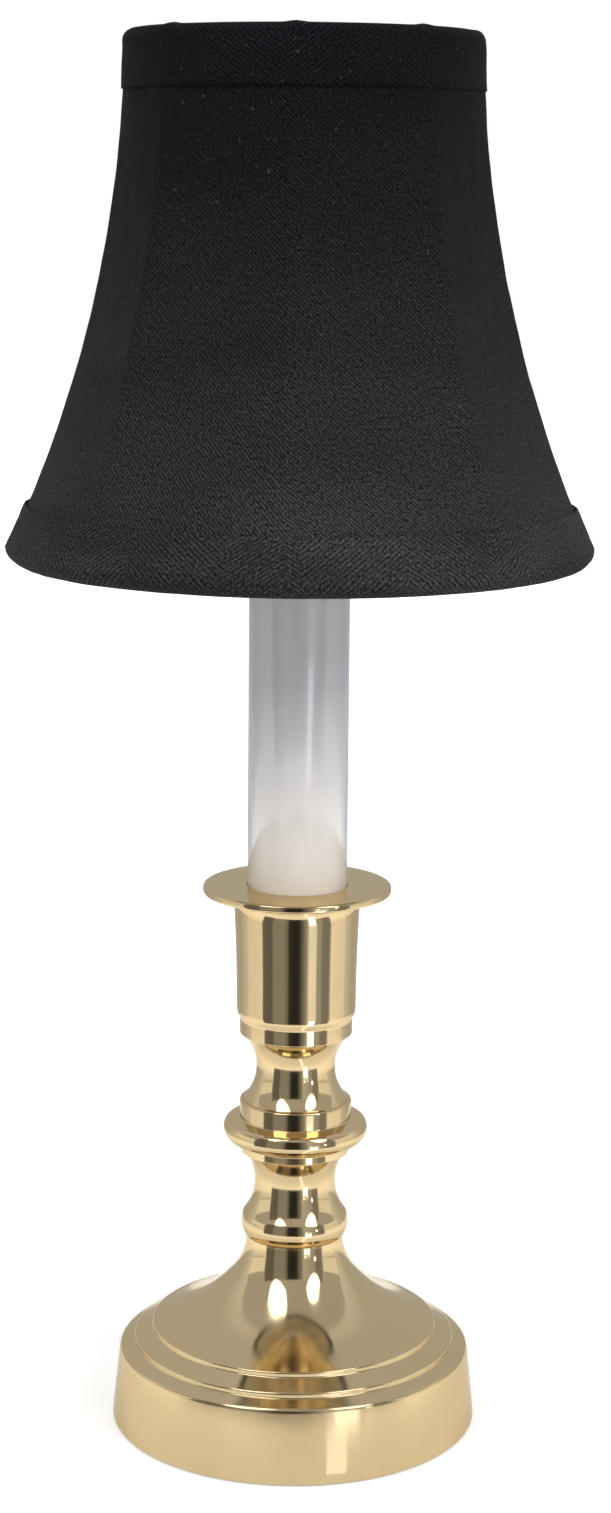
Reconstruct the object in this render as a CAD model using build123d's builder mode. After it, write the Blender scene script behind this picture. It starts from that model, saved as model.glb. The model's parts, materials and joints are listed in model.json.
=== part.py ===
from build123d import *
import os
from math import asin, atan2, cos, hypot, radians, sin, sqrt

# Candle lamp: a turned brass candlestick carries an electric candle, and a bell-shaped cloth shade
# clips on to the bulb. Millimetres, +Z up, origin in the middle of the face that the lamp stands on.

os.makedirs("parts", exist_ok=True)

# Gaps and allowances that several pieces share
overrun = 1.0
slip_gap = 0.15
seat_gap = 0.3
running_gap = 0.05
match_gap = 0.01

# Centre pipe, which clamps the stack of turned pieces
pipe_radius = 4.95
pipe_wall = 1.35
pipe_below_ceiling = 8.6
pipe_above_cup_floor = 12.5
pipe_chamfer = 0.5
pipe_bore_radius = pipe_radius - pipe_wall
pipe_hole_radius = pipe_radius + slip_gap

# Foot, cast and turned: outside
felt_proud = 0.4
foot_radius = 41.65
foot_side_taper = 1.8
foot_rim_height = 17.1
foot_edge_round = 0.5
foot_ledge_width = 3.35
step_one_height = 19.5
step_width = 4.15
step_two_height = 22.6
step_rise = 1.1
step_round = 0.25
foot_neck_radius = 10.95
foot_height = 43.5
flare_round = 14.0
flare_turn = 40

# Foot: the hollow underneath
foot_wall = 2.6
foot_ceiling = 14.4
foot_cavity_slope = 6.05
felt_inset = 1.25
felt_thickness = 1.2

# Lower neck with its collar
neck_height = 19.8
collar_foot_radius = 11.35
collar_radius = 12.17
collar_belly = 2.9
collar_height = 5.2
collar_top_radius = 11.75
neck_waist_radius = 9.2
neck_top_radius = 11.5

# Disc knop
knop_height = 12.2
knop_foot_radius = 12.3
knop_foot_height = 1.9
disc_under_radius = 15.0
disc_under_height = 2.9
disc_radius = 16.3
disc_middle_height = 5.2
disc_top_radius = 15.5
disc_top_height = 7.4
knop_band_radius = 12.62
knop_band_floor = 8.0
knop_band_round = 0.5

# Upper neck
spool_height = 15.4
spool_end_radius = 11.95
spool_waist_radius = 8.88
spool_lip_radius = 12.4
spool_lip_height = 0.4

# Candle cup with its drip flange
cup_height = 34.3
cup_ring_radius = 12.66
cup_ring_height = 3.6
cup_base_radius = 13.4
cup_base_height = 5.2
cup_middle_radius = 13.55
cup_middle_share = 0.5
cup_mouth_radius = 13.98
cup_mouth_drop = 6.2
cup_cove_radius = 15.4
flange_radius = 21.07
flange_thickness = 2.1
flange_under_rise = 0.35
flange_round = 0.7
cup_floor_thickness = 6.8

# Nuts and washers of the pipe
nut_flats = 14.3
nut_sides = 6
base_nut_height = 3.6
base_washer_radius = 15.5
base_washer_thickness = 1.2
cup_nut_height = 3.0
cup_nut_radius = 8.0

# Cast-iron weight in the foot
weight_side_gap = 1.2
weight_floor = 2.4
weight_lip_thickness = 3.0
weight_recess_gap = 1.5
weight_round = 1.0
groove_width = 13.0
groove_height = 5.4

# Cord bushing in the back of the foot
bushing_level = 8.2
bushing_barrel_radius = 4.0
bushing_bore_radius = 2.6
bushing_flange_radius = 5.6
bushing_flange_thickness = 1.3
bushing_nut_thickness = 1.6
bushing_dish = 0.5

# Candle cover, a white sleeve over the socket
cover_radius = 11.13
cover_wall = 0.8
cover_length = 114.3
cover_edge_round = 0.3

# Bracket that carries the socket
hickey_radius = 6.9
hickey_height = 4.0
hickey_gap = 0.3
strap_width = 7.6
strap_thickness = 1.2
strap_inset = 0.9

# Candelabra socket
socket_radius = 9.5
socket_length = 35.0
socket_below_cover = 1.0
socket_floor_height = 8.0
socket_waist_radius = 7.6
socket_waist_height = 9.0
socket_shoulder_round = 1.0
shell_radius = 6.35
shell_wall = 0.35
shell_height = 19.0
tongue_width = 4.0
tongue_thickness = 0.4
tongue_length = 5.6
tongue_rise = 3.0
terminal_head_radius = 2.4
terminal_head_height = 1.1
terminal_shank_radius = 1.4
terminal_shank_length = 3.2
terminal_slot_width = 0.7
terminal_level = 4.6
bracket_screw_head_radius = 2.6
bracket_screw_head_height = 1.6
bracket_screw_radius = 1.45
bracket_screw_length = 6.0

# Wires from the socket down the pipe, ending in crimped splices in the foot
lead_radius = 0.9
lead_spread = 1.55
lead_bend_round = 3.0
splice_radius = 2.4
splice_length = 13.0
splice_spread = 2.9
splice_start = 17.0
lead_into_splice = 4.0

# Candelabra bulb, torpedo shape
bulb_seat_gap = 0.1
bulb_tip_radius = 2.4
bulb_tip_height = 1.2
insulator_height = 1.8
cap_radius = 5.85
cap_wall = 0.3
cap_height = 17.0
bulb_neck_radius = 5.4
bulb_neck_tuck = 3.0
bulb_neck_rise = 1.2
bulb_shoulder_radius = 10.0
bulb_shoulder_rise = 11.0
bulb_radius = 16.0
bulb_belly_rise = 25.3
bulb_flank_radius = 12.5
bulb_flank_rise = 51.0
bulb_nose_radius = 4.4
bulb_nose_rise = 72.0
bulb_length = 75.2
bulb_wall = 0.7
mount_foot_height = 4.0
mount_rod_radius = 1.5
mount_rod_height = 18.0
filament_wire_radius = 0.3
filament_wire_spread = 2.2
filament_level = 34.0
filament_radius = 0.45

# Shade frame and cloth
shade_ring_wire = 1.3
top_ring_radius = 35.9
bottom_ring_radius = 60.7
bell_drop = 106.6
rib_count = 8
rib_lead_angle = -2.5
rib_wire = 1.1
bell_bow_radius = 275.0
cloth_thickness = 0.4
trim_thickness = 0.35
trim_gap = 0.1
hem_thickness = 0.5
hem_gap = 0.3
top_trim_height = 9.8
bottom_trim_height = 8.5
panel_flatness_share = 0.85
liner_thickness = 0.4
liner_gap = 0.2
panel_level_shares = [0, 0.12, 0.3, 0.5, 0.7, 0.88, 1]

# Cross wire and bulb clip
cross_wire = 1.0
cross_wire_above_bulb = 7.9
cross_wire_drop = 17.9
cross_wire_flat = 14.0
cross_wire_bend = 7.0
clip_wire = 0.6
clip_half_width = 6.0
clip_bridge_drop = 2.9
clip_bridge_half = 4.0
clip_beyond_belly = 0.2
clip_above_belly = 11.5
clip_corner_round = 2.2
saddle_wall = 0.8
saddle_length = 17.0
saddle_block_width = 3.2

# Levels of the stack, each worked out from the piece below
neck_floor = foot_height
knop_floor = neck_floor + neck_height
spool_floor = knop_floor + knop_height
cup_bottom = spool_floor + spool_height
cup_top = cup_bottom + cup_height
cup_floor = cup_bottom + cup_floor_thickness
cup_bore_radius = cover_radius + seat_gap
cover_floor = cup_floor
cover_top = cover_floor + cover_length
cover_bore_radius = cover_radius - cover_wall
pipe_floor = foot_ceiling - pipe_below_ceiling
pipe_top = cup_floor + pipe_above_cup_floor
socket_top = cover_top - socket_below_cover
socket_bottom = socket_top - socket_length
bulb_bottom = socket_bottom + socket_floor_height + tongue_rise + bulb_seat_gap
cap_bottom = bulb_bottom + bulb_tip_height + insulator_height
cap_top = cap_bottom + cap_height
bulb_tip = cap_top + bulb_length
cross_wire_height = bulb_tip + cross_wire_above_bulb
top_ring_height = cross_wire_height + cross_wire_drop
bottom_ring_height = top_ring_height - bell_drop


def ring_edges(part, radius, height):
    """Circular edges of a turned part at one radius and height."""
    circles = part.edges().filter_by(GeomType.CIRCLE)
    return circles.filter_by(
        lambda edge: abs(edge.radius - radius) < match_gap and abs(edge.arc_center.Z - height) < match_gap
    )


def finish(builder, name):
    """Label one finished piece and write its file."""
    builder.part.label = name
    export_step(builder.part, f"parts/{name}.step")


# Foot: a tapered drum wall, two turned steps and a trumpet flare up to the neck
foot_rim_radius = foot_radius - foot_side_taper
step_one_radius = foot_rim_radius - foot_ledge_width
step_two_radius = step_one_radius - step_width
foot_cavity_radius = foot_radius - foot_wall
foot_ceiling_radius = foot_cavity_radius - foot_cavity_slope
felt_radius = foot_radius - felt_inset
with BuildPart() as foot:
    with BuildSketch(Plane.XZ):
        with BuildLine():
            Line((pipe_hole_radius, foot_ceiling), (pipe_hole_radius, foot_height))
            Line((pipe_hole_radius, foot_height), (foot_neck_radius, foot_height))
            flare = JernArc((foot_neck_radius, foot_height), (0, -1), flare_round, flare_turn)
            TangentArc(flare @ 1, (step_two_radius, step_two_height), tangent=flare % 1)
            Polyline(
                (step_two_radius, step_two_height),
                (step_two_radius, step_two_height - step_rise),
                (step_one_radius, step_one_height),
                (step_one_radius, step_one_height - step_rise),
                (foot_rim_radius, foot_rim_height),
                (foot_radius, felt_proud),
                (felt_radius + slip_gap, felt_proud),
                (felt_radius + slip_gap, felt_thickness),
                (foot_cavity_radius, felt_thickness),
                (foot_ceiling_radius, foot_ceiling),
                (pipe_hole_radius, foot_ceiling),
            )
        make_face()
    revolve(axis=Axis.Z)
    fillet(ring_edges(foot, foot_rim_radius, foot_rim_height), foot_edge_round)
    fillet(ring_edges(foot, foot_radius, felt_proud), foot_edge_round)
    fillet(ring_edges(foot, step_one_radius, step_one_height), step_round)
    fillet(ring_edges(foot, step_two_radius, step_two_height), step_round)
    with BuildSketch(Plane.XZ.offset(-foot_radius - overrun)):
        with Locations((0, bushing_level)):
            Circle(bushing_barrel_radius)
    extrude(amount=foot_radius / 2, mode=Mode.SUBTRACT)
finish(foot, "foot")

# Lower neck: a barrel-shaped collar under a waisted neck
with BuildPart() as lower_neck:
    with BuildSketch(Plane.XZ):
        with BuildLine():
            collar_top = (collar_top_radius, neck_floor + collar_height)
            waist_rise = (neck_height - collar_height) / 2
            ThreePointArc(
                (collar_foot_radius, neck_floor),
                (collar_radius, neck_floor + collar_belly),
                collar_top,
            )
            ThreePointArc(
                collar_top,
                (neck_waist_radius, neck_floor + collar_height + waist_rise),
                (neck_top_radius, knop_floor),
            )
            Polyline(
                (neck_top_radius, knop_floor),
                (pipe_hole_radius, knop_floor),
                (pipe_hole_radius, neck_floor),
                (collar_foot_radius, neck_floor),
            )
        make_face()
    revolve(axis=Axis.Z)
finish(lower_neck, "lower_neck")

# Knop: a thick disc between a stepped underside and a plain band
with BuildPart() as knop:
    with BuildSketch(Plane.XZ):
        with BuildLine():
            Polyline(
                (pipe_hole_radius, knop_floor),
                (knop_foot_radius, knop_floor),
                (knop_foot_radius, knop_floor + knop_foot_height),
                (disc_under_radius, knop_floor + disc_under_height),
            )
            ThreePointArc(
                (disc_under_radius, knop_floor + disc_under_height),
                (disc_radius, knop_floor + disc_middle_height),
                (disc_top_radius, knop_floor + disc_top_height),
            )
            Polyline(
                (disc_top_radius, knop_floor + disc_top_height),
                (knop_band_radius, knop_floor + knop_band_floor),
                (knop_band_radius, spool_floor),
                (pipe_hole_radius, spool_floor),
                (pipe_hole_radius, knop_floor),
            )
        make_face()
    revolve(axis=Axis.Z)
    fillet(ring_edges(knop, knop_band_radius, spool_floor), knop_band_round)
finish(knop, "knop")

# Upper neck: a spool, waisted between two flared ends
with BuildPart() as upper_neck:
    with BuildSketch(Plane.XZ):
        with BuildLine():
            lip_floor = cup_bottom - spool_lip_height
            ThreePointArc(
                (spool_end_radius, spool_floor),
                (spool_waist_radius, (spool_floor + lip_floor) / 2),
                (spool_end_radius, lip_floor),
            )
            Polyline(
                (spool_end_radius, lip_floor),
                (spool_lip_radius, cup_bottom),
                (pipe_hole_radius, cup_bottom),
                (pipe_hole_radius, spool_floor),
                (spool_end_radius, spool_floor),
            )
        make_face()
    revolve(axis=Axis.Z)
finish(upper_neck, "upper_neck")

# Candle cup: a base ring, a tall bowl that widens a little upwards, and the broad drip flange
with BuildPart() as candle_cup:
    with BuildSketch(Plane.XZ):
        with BuildLine():
            flange_floor = cup_top - flange_thickness
            cup_mouth = (cup_mouth_radius, cup_top - cup_mouth_drop)
            Polyline(
                (pipe_hole_radius, cup_floor),
                (pipe_hole_radius, cup_bottom),
                (cup_ring_radius, cup_bottom),
                (cup_ring_radius, cup_bottom + cup_ring_height),
                (cup_base_radius, cup_bottom + cup_base_height),
            )
            bowl_height = cup_height - cup_base_height - cup_mouth_drop
            bowl = ThreePointArc(
                (cup_base_radius, cup_bottom + cup_base_height),
                (cup_middle_radius, cup_bottom + cup_base_height + cup_middle_share * bowl_height),
                cup_mouth,
            )
            TangentArc(cup_mouth, (cup_cove_radius, flange_floor), tangent=bowl % 1)
            Polyline(
                (cup_cove_radius, flange_floor),
                (flange_radius, flange_floor + flange_under_rise),
                (flange_radius, cup_top),
                (cup_bore_radius, cup_top),
                (cup_bore_radius, cup_floor),
                (pipe_hole_radius, cup_floor),
            )
        make_face()
    revolve(axis=Axis.Z)
    fillet(ring_edges(candle_cup, flange_radius, cup_top), flange_round)
    fillet(ring_edges(candle_cup, flange_radius, flange_floor + flange_under_rise), flange_round)
finish(candle_cup, "candle_cup")

# Pipe up the middle of the stick, from under the foot's ceiling into the cup
with BuildPart() as stem_pipe:
    with BuildSketch(Plane.XY.offset(pipe_floor)):
        Circle(pipe_radius)
        Circle(pipe_bore_radius, mode=Mode.SUBTRACT)
    extrude(amount=pipe_top - pipe_floor)
    chamfer(ring_edges(stem_pipe, pipe_radius, pipe_top), pipe_chamfer)
    chamfer(ring_edges(stem_pipe, pipe_radius, pipe_floor), pipe_chamfer)
finish(stem_pipe, "stem_pipe")

# Cast-iron weight: a thick ring held by its thin middle, with a groove for the cord at the back
weight_lip_floor = foot_ceiling - weight_lip_thickness
weight_radius = foot_ceiling_radius - weight_side_gap
with BuildPart() as base_weight:
    with BuildSketch(Plane.XY.offset(weight_floor)):
        Circle(weight_radius)
        Circle(pipe_hole_radius, mode=Mode.SUBTRACT)
    extrude(amount=foot_ceiling - weight_floor)
    with BuildSketch(Plane.XY.offset(weight_floor)):
        Circle(base_washer_radius + weight_recess_gap)
    extrude(amount=weight_lip_floor - weight_floor, mode=Mode.SUBTRACT)
    with BuildSketch(Plane.XY.offset(weight_floor)):
        with Locations((0, weight_radius / 2 + overrun)):
            Rectangle(groove_width, weight_radius)
    extrude(amount=groove_height, mode=Mode.SUBTRACT)
    fillet(ring_edges(base_weight, weight_radius, foot_ceiling), weight_round)
finish(base_weight, "base_weight")

# Washer and hexagon nut that draw the pipe down against the weight
washer_floor = weight_lip_floor - base_washer_thickness
with BuildPart() as base_washer:
    with BuildSketch(Plane.XY.offset(washer_floor)):
        Circle(base_washer_radius)
        Circle(pipe_hole_radius, mode=Mode.SUBTRACT)
    extrude(amount=base_washer_thickness)
finish(base_washer, "base_washer")

with BuildPart() as base_nut:
    with BuildSketch(Plane.XY.offset(washer_floor - base_nut_height)):
        RegularPolygon(nut_flats / 2, nut_sides, major_radius=False)
        Circle(pipe_radius, mode=Mode.SUBTRACT)
    extrude(amount=base_nut_height)
finish(base_nut, "base_nut")

# Knurled round nut on the cup's floor
with BuildPart() as cup_nut:
    with BuildSketch(Plane.XY.offset(cup_floor)):
        Circle(cup_nut_radius)
        Circle(pipe_radius, mode=Mode.SUBTRACT)
    extrude(amount=cup_nut_height)
    chamfer(ring_edges(cup_nut, cup_nut_radius, cup_floor + cup_nut_height), pipe_chamfer)
finish(cup_nut, "cup_nut")

# Felt disc let into the underside
with BuildPart() as base_felt:
    with BuildSketch(Plane.XY):
        Circle(felt_radius)
    extrude(amount=felt_thickness)
finish(base_felt, "base_felt")

# Cord bushing: a flanged barrel through the back wall, with a thin nut inside, dished round its mouth
foot_taper = (foot_radius - foot_rim_radius) / (foot_rim_height - felt_proud)
wall_outside = foot_radius - foot_taper * (bushing_level - felt_proud)
bushing_inner_end = foot_cavity_radius - foot_wall - bushing_nut_thickness
bushing_length = wall_outside + bushing_flange_thickness - bushing_inner_end
with BuildPart() as cord_bushing:
    with BuildSketch(Plane.XZ.offset(-wall_outside - bushing_flange_thickness)):
        with Locations((0, bushing_level)):
            Circle(bushing_flange_radius)
    extrude(amount=bushing_flange_thickness + foot_wall / 2)
    add(foot.part, mode=Mode.SUBTRACT)
    outer_flange = cord_bushing.faces().sort_by(Axis.Y)[-1]
    fillet(outer_flange.edges(), bushing_dish)
    with BuildSketch(Plane.XZ.offset(-wall_outside - bushing_flange_thickness)):
        with Locations((0, bushing_level)):
            Circle(bushing_barrel_radius - slip_gap)
    extrude(amount=bushing_length)
    with BuildSketch(Plane.XZ.offset(-wall_outside - bushing_flange_thickness - overrun)):
        with Locations((0, bushing_level)):
            Circle(bushing_bore_radius)
    extrude(amount=bushing_length + 2 * overrun, mode=Mode.SUBTRACT)
finish(cord_bushing, "cord_bushing")

# Candle cover: the white sleeve that stands in the cup and hides the socket
with BuildPart() as candle_cover:
    with BuildSketch(Plane.XY.offset(cover_floor)):
        Circle(cover_radius)
        Circle(cover_bore_radius, mode=Mode.SUBTRACT)
    extrude(amount=cover_length)
    fillet(ring_edges(candle_cover, cover_radius, cover_top), cover_edge_round)
finish(candle_cover, "candle_cover")

# Socket bracket: a threaded ring on the pipe, a flat strap up the back and a tab under the socket
hickey_floor = cup_floor + cup_nut_height + hickey_gap
strap_outside = sqrt((cover_bore_radius - strap_inset / 2) ** 2 - (strap_width / 2) ** 2)
strap_inside = strap_outside - strap_thickness
plate_floor = hickey_floor + hickey_height
with BuildPart() as socket_bracket:
    with BuildSketch(Plane.XY.offset(hickey_floor)):
        Circle(hickey_radius)
    extrude(amount=hickey_height)
    with BuildSketch(Plane.XY.offset(plate_floor)):
        Circle(hickey_radius)
        with Locations((0, strap_outside / 2)):
            Rectangle(strap_width, strap_outside)
    extrude(amount=strap_thickness)
    with BuildSketch(Plane.XY.offset(plate_floor)):
        with Locations((0, (strap_outside + strap_inside) / 2)):
            Rectangle(strap_width, strap_thickness)
    extrude(amount=socket_bottom - plate_floor)
    with BuildSketch(Plane.XY.offset(socket_bottom - strap_thickness)):
        with Locations((0, (strap_outside - strap_width / 2) / 2)):
            Rectangle(strap_width, strap_outside + strap_width / 2)
    extrude(amount=strap_thickness)
    with BuildSketch(Plane.XY.offset(hickey_floor)):
        Circle(pipe_radius)
    extrude(amount=hickey_height + strap_thickness, mode=Mode.SUBTRACT)
    with BuildSketch(Plane.XY.offset(socket_bottom - strap_thickness)):
        Circle(bracket_screw_radius)
    extrude(amount=strap_thickness, mode=Mode.SUBTRACT)
finish(socket_bracket, "socket_bracket")

# Socket body: waisted at the terminals, bored for the screw shell
with BuildPart() as socket_body:
    with BuildSketch(Plane.XY.offset(socket_bottom)):
        Circle(socket_waist_radius)
    extrude(amount=socket_waist_height)
    with BuildSketch(Plane.XY.offset(socket_bottom + socket_waist_height)):
        Circle(socket_radius)
    extrude(amount=socket_length - socket_waist_height)
    fillet(ring_edges(socket_body, socket_radius, socket_bottom + socket_waist_height), socket_shoulder_round)
    with BuildSketch(Plane.XY.offset(socket_bottom + socket_floor_height)):
        Circle(shell_radius + shell_wall)
    extrude(amount=socket_length, mode=Mode.SUBTRACT)
    with BuildSketch(Plane.XY.offset(socket_bottom)):
        Circle(bracket_screw_radius)
    extrude(amount=bracket_screw_length - strap_thickness, mode=Mode.SUBTRACT)
    with BuildSketch(Plane.YZ.offset(-socket_waist_radius)):
        with Locations((0, socket_bottom + terminal_level)):
            Circle(terminal_shank_radius)
    extrude(amount=terminal_shank_length, mode=Mode.SUBTRACT)
    with BuildSketch(Plane.YZ.offset(socket_waist_radius)):
        with Locations((0, socket_bottom + terminal_level)):
            Circle(terminal_shank_radius)
    extrude(amount=-terminal_shank_length, mode=Mode.SUBTRACT)
finish(socket_body, "socket_body")

# Brass screw shell that lines the socket
shell_floor = socket_top - shell_height - socket_below_cover
with BuildPart() as screw_shell:
    with BuildSketch(Plane.XY.offset(shell_floor)):
        Circle(shell_radius + shell_wall)
        Circle(shell_radius, mode=Mode.SUBTRACT)
    extrude(amount=shell_height)
finish(screw_shell, "screw_shell")

# Centre contact: a brass tongue folded up from the socket's floor
tongue_floor = socket_bottom + socket_floor_height
with BuildPart() as contact_tongue:
    with BuildSketch(Plane.XZ.offset(-tongue_width / 2)):
        with BuildLine():
            Polyline(
                (tongue_length / 2, tongue_floor),
                (-tongue_length / 2, tongue_floor),
                (-tongue_length / 2, tongue_floor + tongue_rise),
                (tongue_length / 2, tongue_floor + tongue_rise),
                (tongue_length / 2, tongue_floor + tongue_rise - tongue_thickness),
                (-tongue_length / 2 + tongue_thickness, tongue_floor + tongue_rise - tongue_thickness),
                (-tongue_length / 2 + tongue_thickness, tongue_floor + tongue_thickness),
                (tongue_length / 2, tongue_floor + tongue_thickness),
                (tongue_length / 2, tongue_floor),
            )
        make_face()
    extrude(amount=tongue_width)
finish(contact_tongue, "contact_tongue")

# Terminal screws on both sides of the socket's waist
with BuildPart() as terminal_screws:
    for side in (-1, 1):
        with BuildSketch(Plane.YZ.offset(side * (socket_waist_radius - terminal_shank_length))):
            with Locations((0, socket_bottom + terminal_level)):
                Circle(terminal_shank_radius)
        extrude(amount=side * terminal_shank_length)
        with BuildSketch(Plane.YZ.offset(side * socket_waist_radius)):
            with Locations((0, socket_bottom + terminal_level)):
                Circle(terminal_head_radius)
        extrude(amount=side * terminal_head_height)
        with BuildSketch(Plane.YZ.offset(side * (socket_waist_radius + terminal_head_height / 2))):
            with Locations((0, socket_bottom + terminal_level)):
                Rectangle(2 * terminal_head_radius, terminal_slot_width)
        extrude(amount=side * terminal_head_height, mode=Mode.SUBTRACT)
finish(terminal_screws, "terminal_screws")

# Screw that holds the socket down on the bracket's tab
with BuildPart() as bracket_screw:
    with BuildSketch(Plane.XY.offset(socket_bottom - strap_thickness - bracket_screw_head_height)):
        Circle(bracket_screw_head_radius)
    extrude(amount=bracket_screw_head_height)
    with BuildSketch(Plane.XY.offset(socket_bottom - strap_thickness)):
        Circle(bracket_screw_radius)
    extrude(amount=bracket_screw_length)
finish(bracket_screw, "bracket_screw")

# Two wires from the terminals down the pipe to their splices in the weight's groove
lead_run_level = felt_thickness + seat_gap + splice_radius
lead_back = -terminal_head_radius - lead_radius
lead_side = socket_waist_radius + lead_radius


def lead_path(side):
    """Route of one wire, as corner points from its splice up to its terminal."""
    return [
        (side * splice_spread, splice_start + lead_into_splice, lead_run_level),
        (side * splice_spread, splice_start / 2, lead_run_level),
        (side * lead_spread, 0, lead_run_level),
        (side * lead_spread, 0, pipe_top + lead_bend_round),
        (side * lead_side, lead_back, pipe_top + socket_length / 2),
        (side * lead_side, lead_back, socket_bottom + terminal_level),
    ]


lead_corner_radii = [2 * lead_bend_round, lead_bend_round, 4 * lead_bend_round, 4 * lead_bend_round]
for lead_name, side in (("live_lead", -1), ("neutral_lead", 1)):
    with BuildPart() as lead:
        with BuildLine() as route:
            FilletPolyline(*lead_path(side), radius=lead_corner_radii)
        with BuildSketch(route.line ^ 0):
            Circle(lead_radius)
        sweep()
    finish(lead, lead_name)

# Closed crimp caps over the ends of the wires
with BuildPart() as splice_caps:
    for side in (-1, 1):
        with BuildSketch(Plane.XZ.offset(-splice_start)):
            with Locations((side * splice_spread, lead_run_level)):
                Circle(splice_radius)
        extrude(amount=-splice_length)
        with BuildSketch(Plane.XZ.offset(-splice_start)):
            with Locations((side * splice_spread, lead_run_level)):
                Circle(lead_radius)
        extrude(amount=-lead_into_splice, mode=Mode.SUBTRACT)
finish(splice_caps, "splice_caps")

# Bulb: contact tip, glass insulator, screw cap and torpedo envelope
with BuildPart() as bulb_contact:
    with BuildSketch(Plane.XY.offset(bulb_bottom)):
        Circle(bulb_tip_radius)
    extrude(amount=bulb_tip_height)
    fillet(ring_edges(bulb_contact, bulb_tip_radius, bulb_bottom), bulb_tip_height / 2)
finish(bulb_contact, "bulb_contact")

with BuildPart() as bulb_insulator:
    with BuildSketch(Plane.XZ):
        Polygon(
            (0, bulb_bottom + bulb_tip_height),
            (bulb_tip_radius, bulb_bottom + bulb_tip_height),
            (cap_radius - cap_wall, cap_bottom),
            (0, cap_bottom),
            align=None,
        )
    revolve(axis=Axis.Z)
finish(bulb_insulator, "bulb_insulator")

with BuildPart() as bulb_cap:
    with BuildSketch(Plane.XY.offset(cap_bottom)):
        Circle(cap_radius)
    extrude(amount=cap_height)
    with BuildSketch(Plane.XY.offset(cap_bottom + cap_wall)):
        Circle(cap_radius - cap_wall)
    extrude(amount=cap_height, mode=Mode.SUBTRACT)
finish(bulb_cap, "bulb_cap")

bulb_neck_floor = cap_top - bulb_neck_tuck
with BuildPart() as bulb_glass:
    with BuildSketch(Plane.XZ):
        with BuildLine():
            for inset in (0, bulb_wall):
                neck_radius = bulb_neck_radius - inset
                side = Line((neck_radius, bulb_neck_floor), (neck_radius, cap_top + bulb_neck_rise))
                shoulder_end = (bulb_shoulder_radius - inset, cap_top + bulb_shoulder_rise)
                shoulder = TangentArc(side @ 1, shoulder_end, tangent=side % 1)
                belly_end = (bulb_radius - inset, cap_top + bulb_belly_rise)
                belly = TangentArc(shoulder @ 1, belly_end, tangent=shoulder % 1)
                flank = (bulb_flank_radius - inset, cap_top + bulb_flank_rise)
                nose = (bulb_nose_radius - inset, cap_top + bulb_nose_rise)
                Spline(belly @ 1, flank, nose, (0, bulb_tip - inset), tangents=(belly % 1, (-1, 0)))
            Line((bulb_neck_radius, bulb_neck_floor), (bulb_neck_radius - bulb_wall, bulb_neck_floor))
            Line((0, bulb_tip), (0, bulb_tip - bulb_wall))
        make_face()
    revolve(axis=Axis.Z)
finish(bulb_glass, "bulb_glass")

# Glass mount inside the bulb, with its two support wires and the filament
with BuildPart() as glass_mount:
    with BuildSketch(Plane.XY.offset(cap_top)):
        Circle(bulb_neck_radius - bulb_wall - slip_gap)
    extrude(amount=-mount_foot_height / 2)
    with BuildSketch(Plane.XY.offset(cap_top)):
        Circle(mount_rod_radius + bulb_wall)
    extrude(amount=mount_foot_height)
    with BuildSketch(Plane.XY.offset(cap_top)):
        Circle(mount_rod_radius)
    extrude(amount=mount_rod_height)
finish(glass_mount, "glass_mount")

with BuildPart() as filament_wires:
    for side in (-1, 1):
        with BuildSketch(Plane.XY.offset(cap_top)):
            with Locations((side * (mount_rod_radius + bulb_wall + filament_wire_spread), 0)):
                Circle(filament_wire_radius)
        extrude(amount=filament_level)
finish(filament_wires, "filament_wires")

with BuildPart() as filament:
    reach = mount_rod_radius + bulb_wall + filament_wire_spread
    with BuildSketch(Plane.YZ.offset(-reach)):
        with Locations((0, cap_top + filament_level + filament_radius)):
            Circle(filament_radius)
    extrude(amount=2 * reach)
finish(filament, "filament")

# Bell curve of the shade: one arc, bowed inwards, that lies against both wire rings
ring_spread = bottom_ring_radius - top_ring_radius
bell_lean = atan2(ring_spread, bell_drop)
bell_half_turn = asin(hypot(bell_drop, ring_spread) / 2 / bell_bow_radius)
top_wrap = shade_ring_wire + running_gap + cloth_thickness
bottom_wrap = (top_wrap + slip_gap) / cos(bell_lean + bell_half_turn)
cloth_top_radius = top_ring_radius + top_wrap
cloth_bottom_radius = bottom_ring_radius + bottom_wrap
cloth_spread = cloth_bottom_radius - cloth_top_radius
cloth_lean = atan2(cloth_spread, bell_drop)
cloth_half_turn = asin(hypot(bell_drop, cloth_spread) / 2 / bell_bow_radius)
bow_axis_radius = cloth_top_radius + bell_bow_radius * cos(cloth_lean - cloth_half_turn)
bow_axis_height = top_ring_height + bell_bow_radius * sin(cloth_lean - cloth_half_turn)


def bell_radius(height):
    """Outer radius of the cloth on a rib, at one height."""
    return bow_axis_radius - sqrt(bell_bow_radius**2 - (height - bow_axis_height) ** 2)


def rib_angle(index):
    """Angle of one rib from the +X axis, in degrees; rib 0 is the one at the front."""
    return rib_lead_angle - 90 + index * 360 / rib_count


def panel_outline(height, inset):
    """Outline of the shade at one height: an arc on each panel, nearly flat midway between the rings."""
    level = (height - bottom_ring_height) / bell_drop
    flatness = panel_flatness_share * sin(radians(180 * level))
    radius = bell_radius(height) - inset
    middle = radius * (1 - flatness * (1 - cos(radians(180 / rib_count))))
    for index in range(rib_count):
        start, end = rib_angle(index), rib_angle(index + 1)
        half = (start + end) / 2
        ThreePointArc(
            (radius * cos(radians(start)), radius * sin(radians(start))),
            (middle * cos(radians(half)), middle * sin(radians(half))),
            (radius * cos(radians(end)), radius * sin(radians(end))),
        )


def panel_body(levels, inset):
    """Solid bell bounded by the panel outlines at the given levels."""
    with BuildPart() as body:
        for height in levels:
            with BuildSketch(Plane.XY.offset(height)):
                with BuildLine():
                    panel_outline(height, inset)
                make_face()
        loft()
    return body.part


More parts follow.
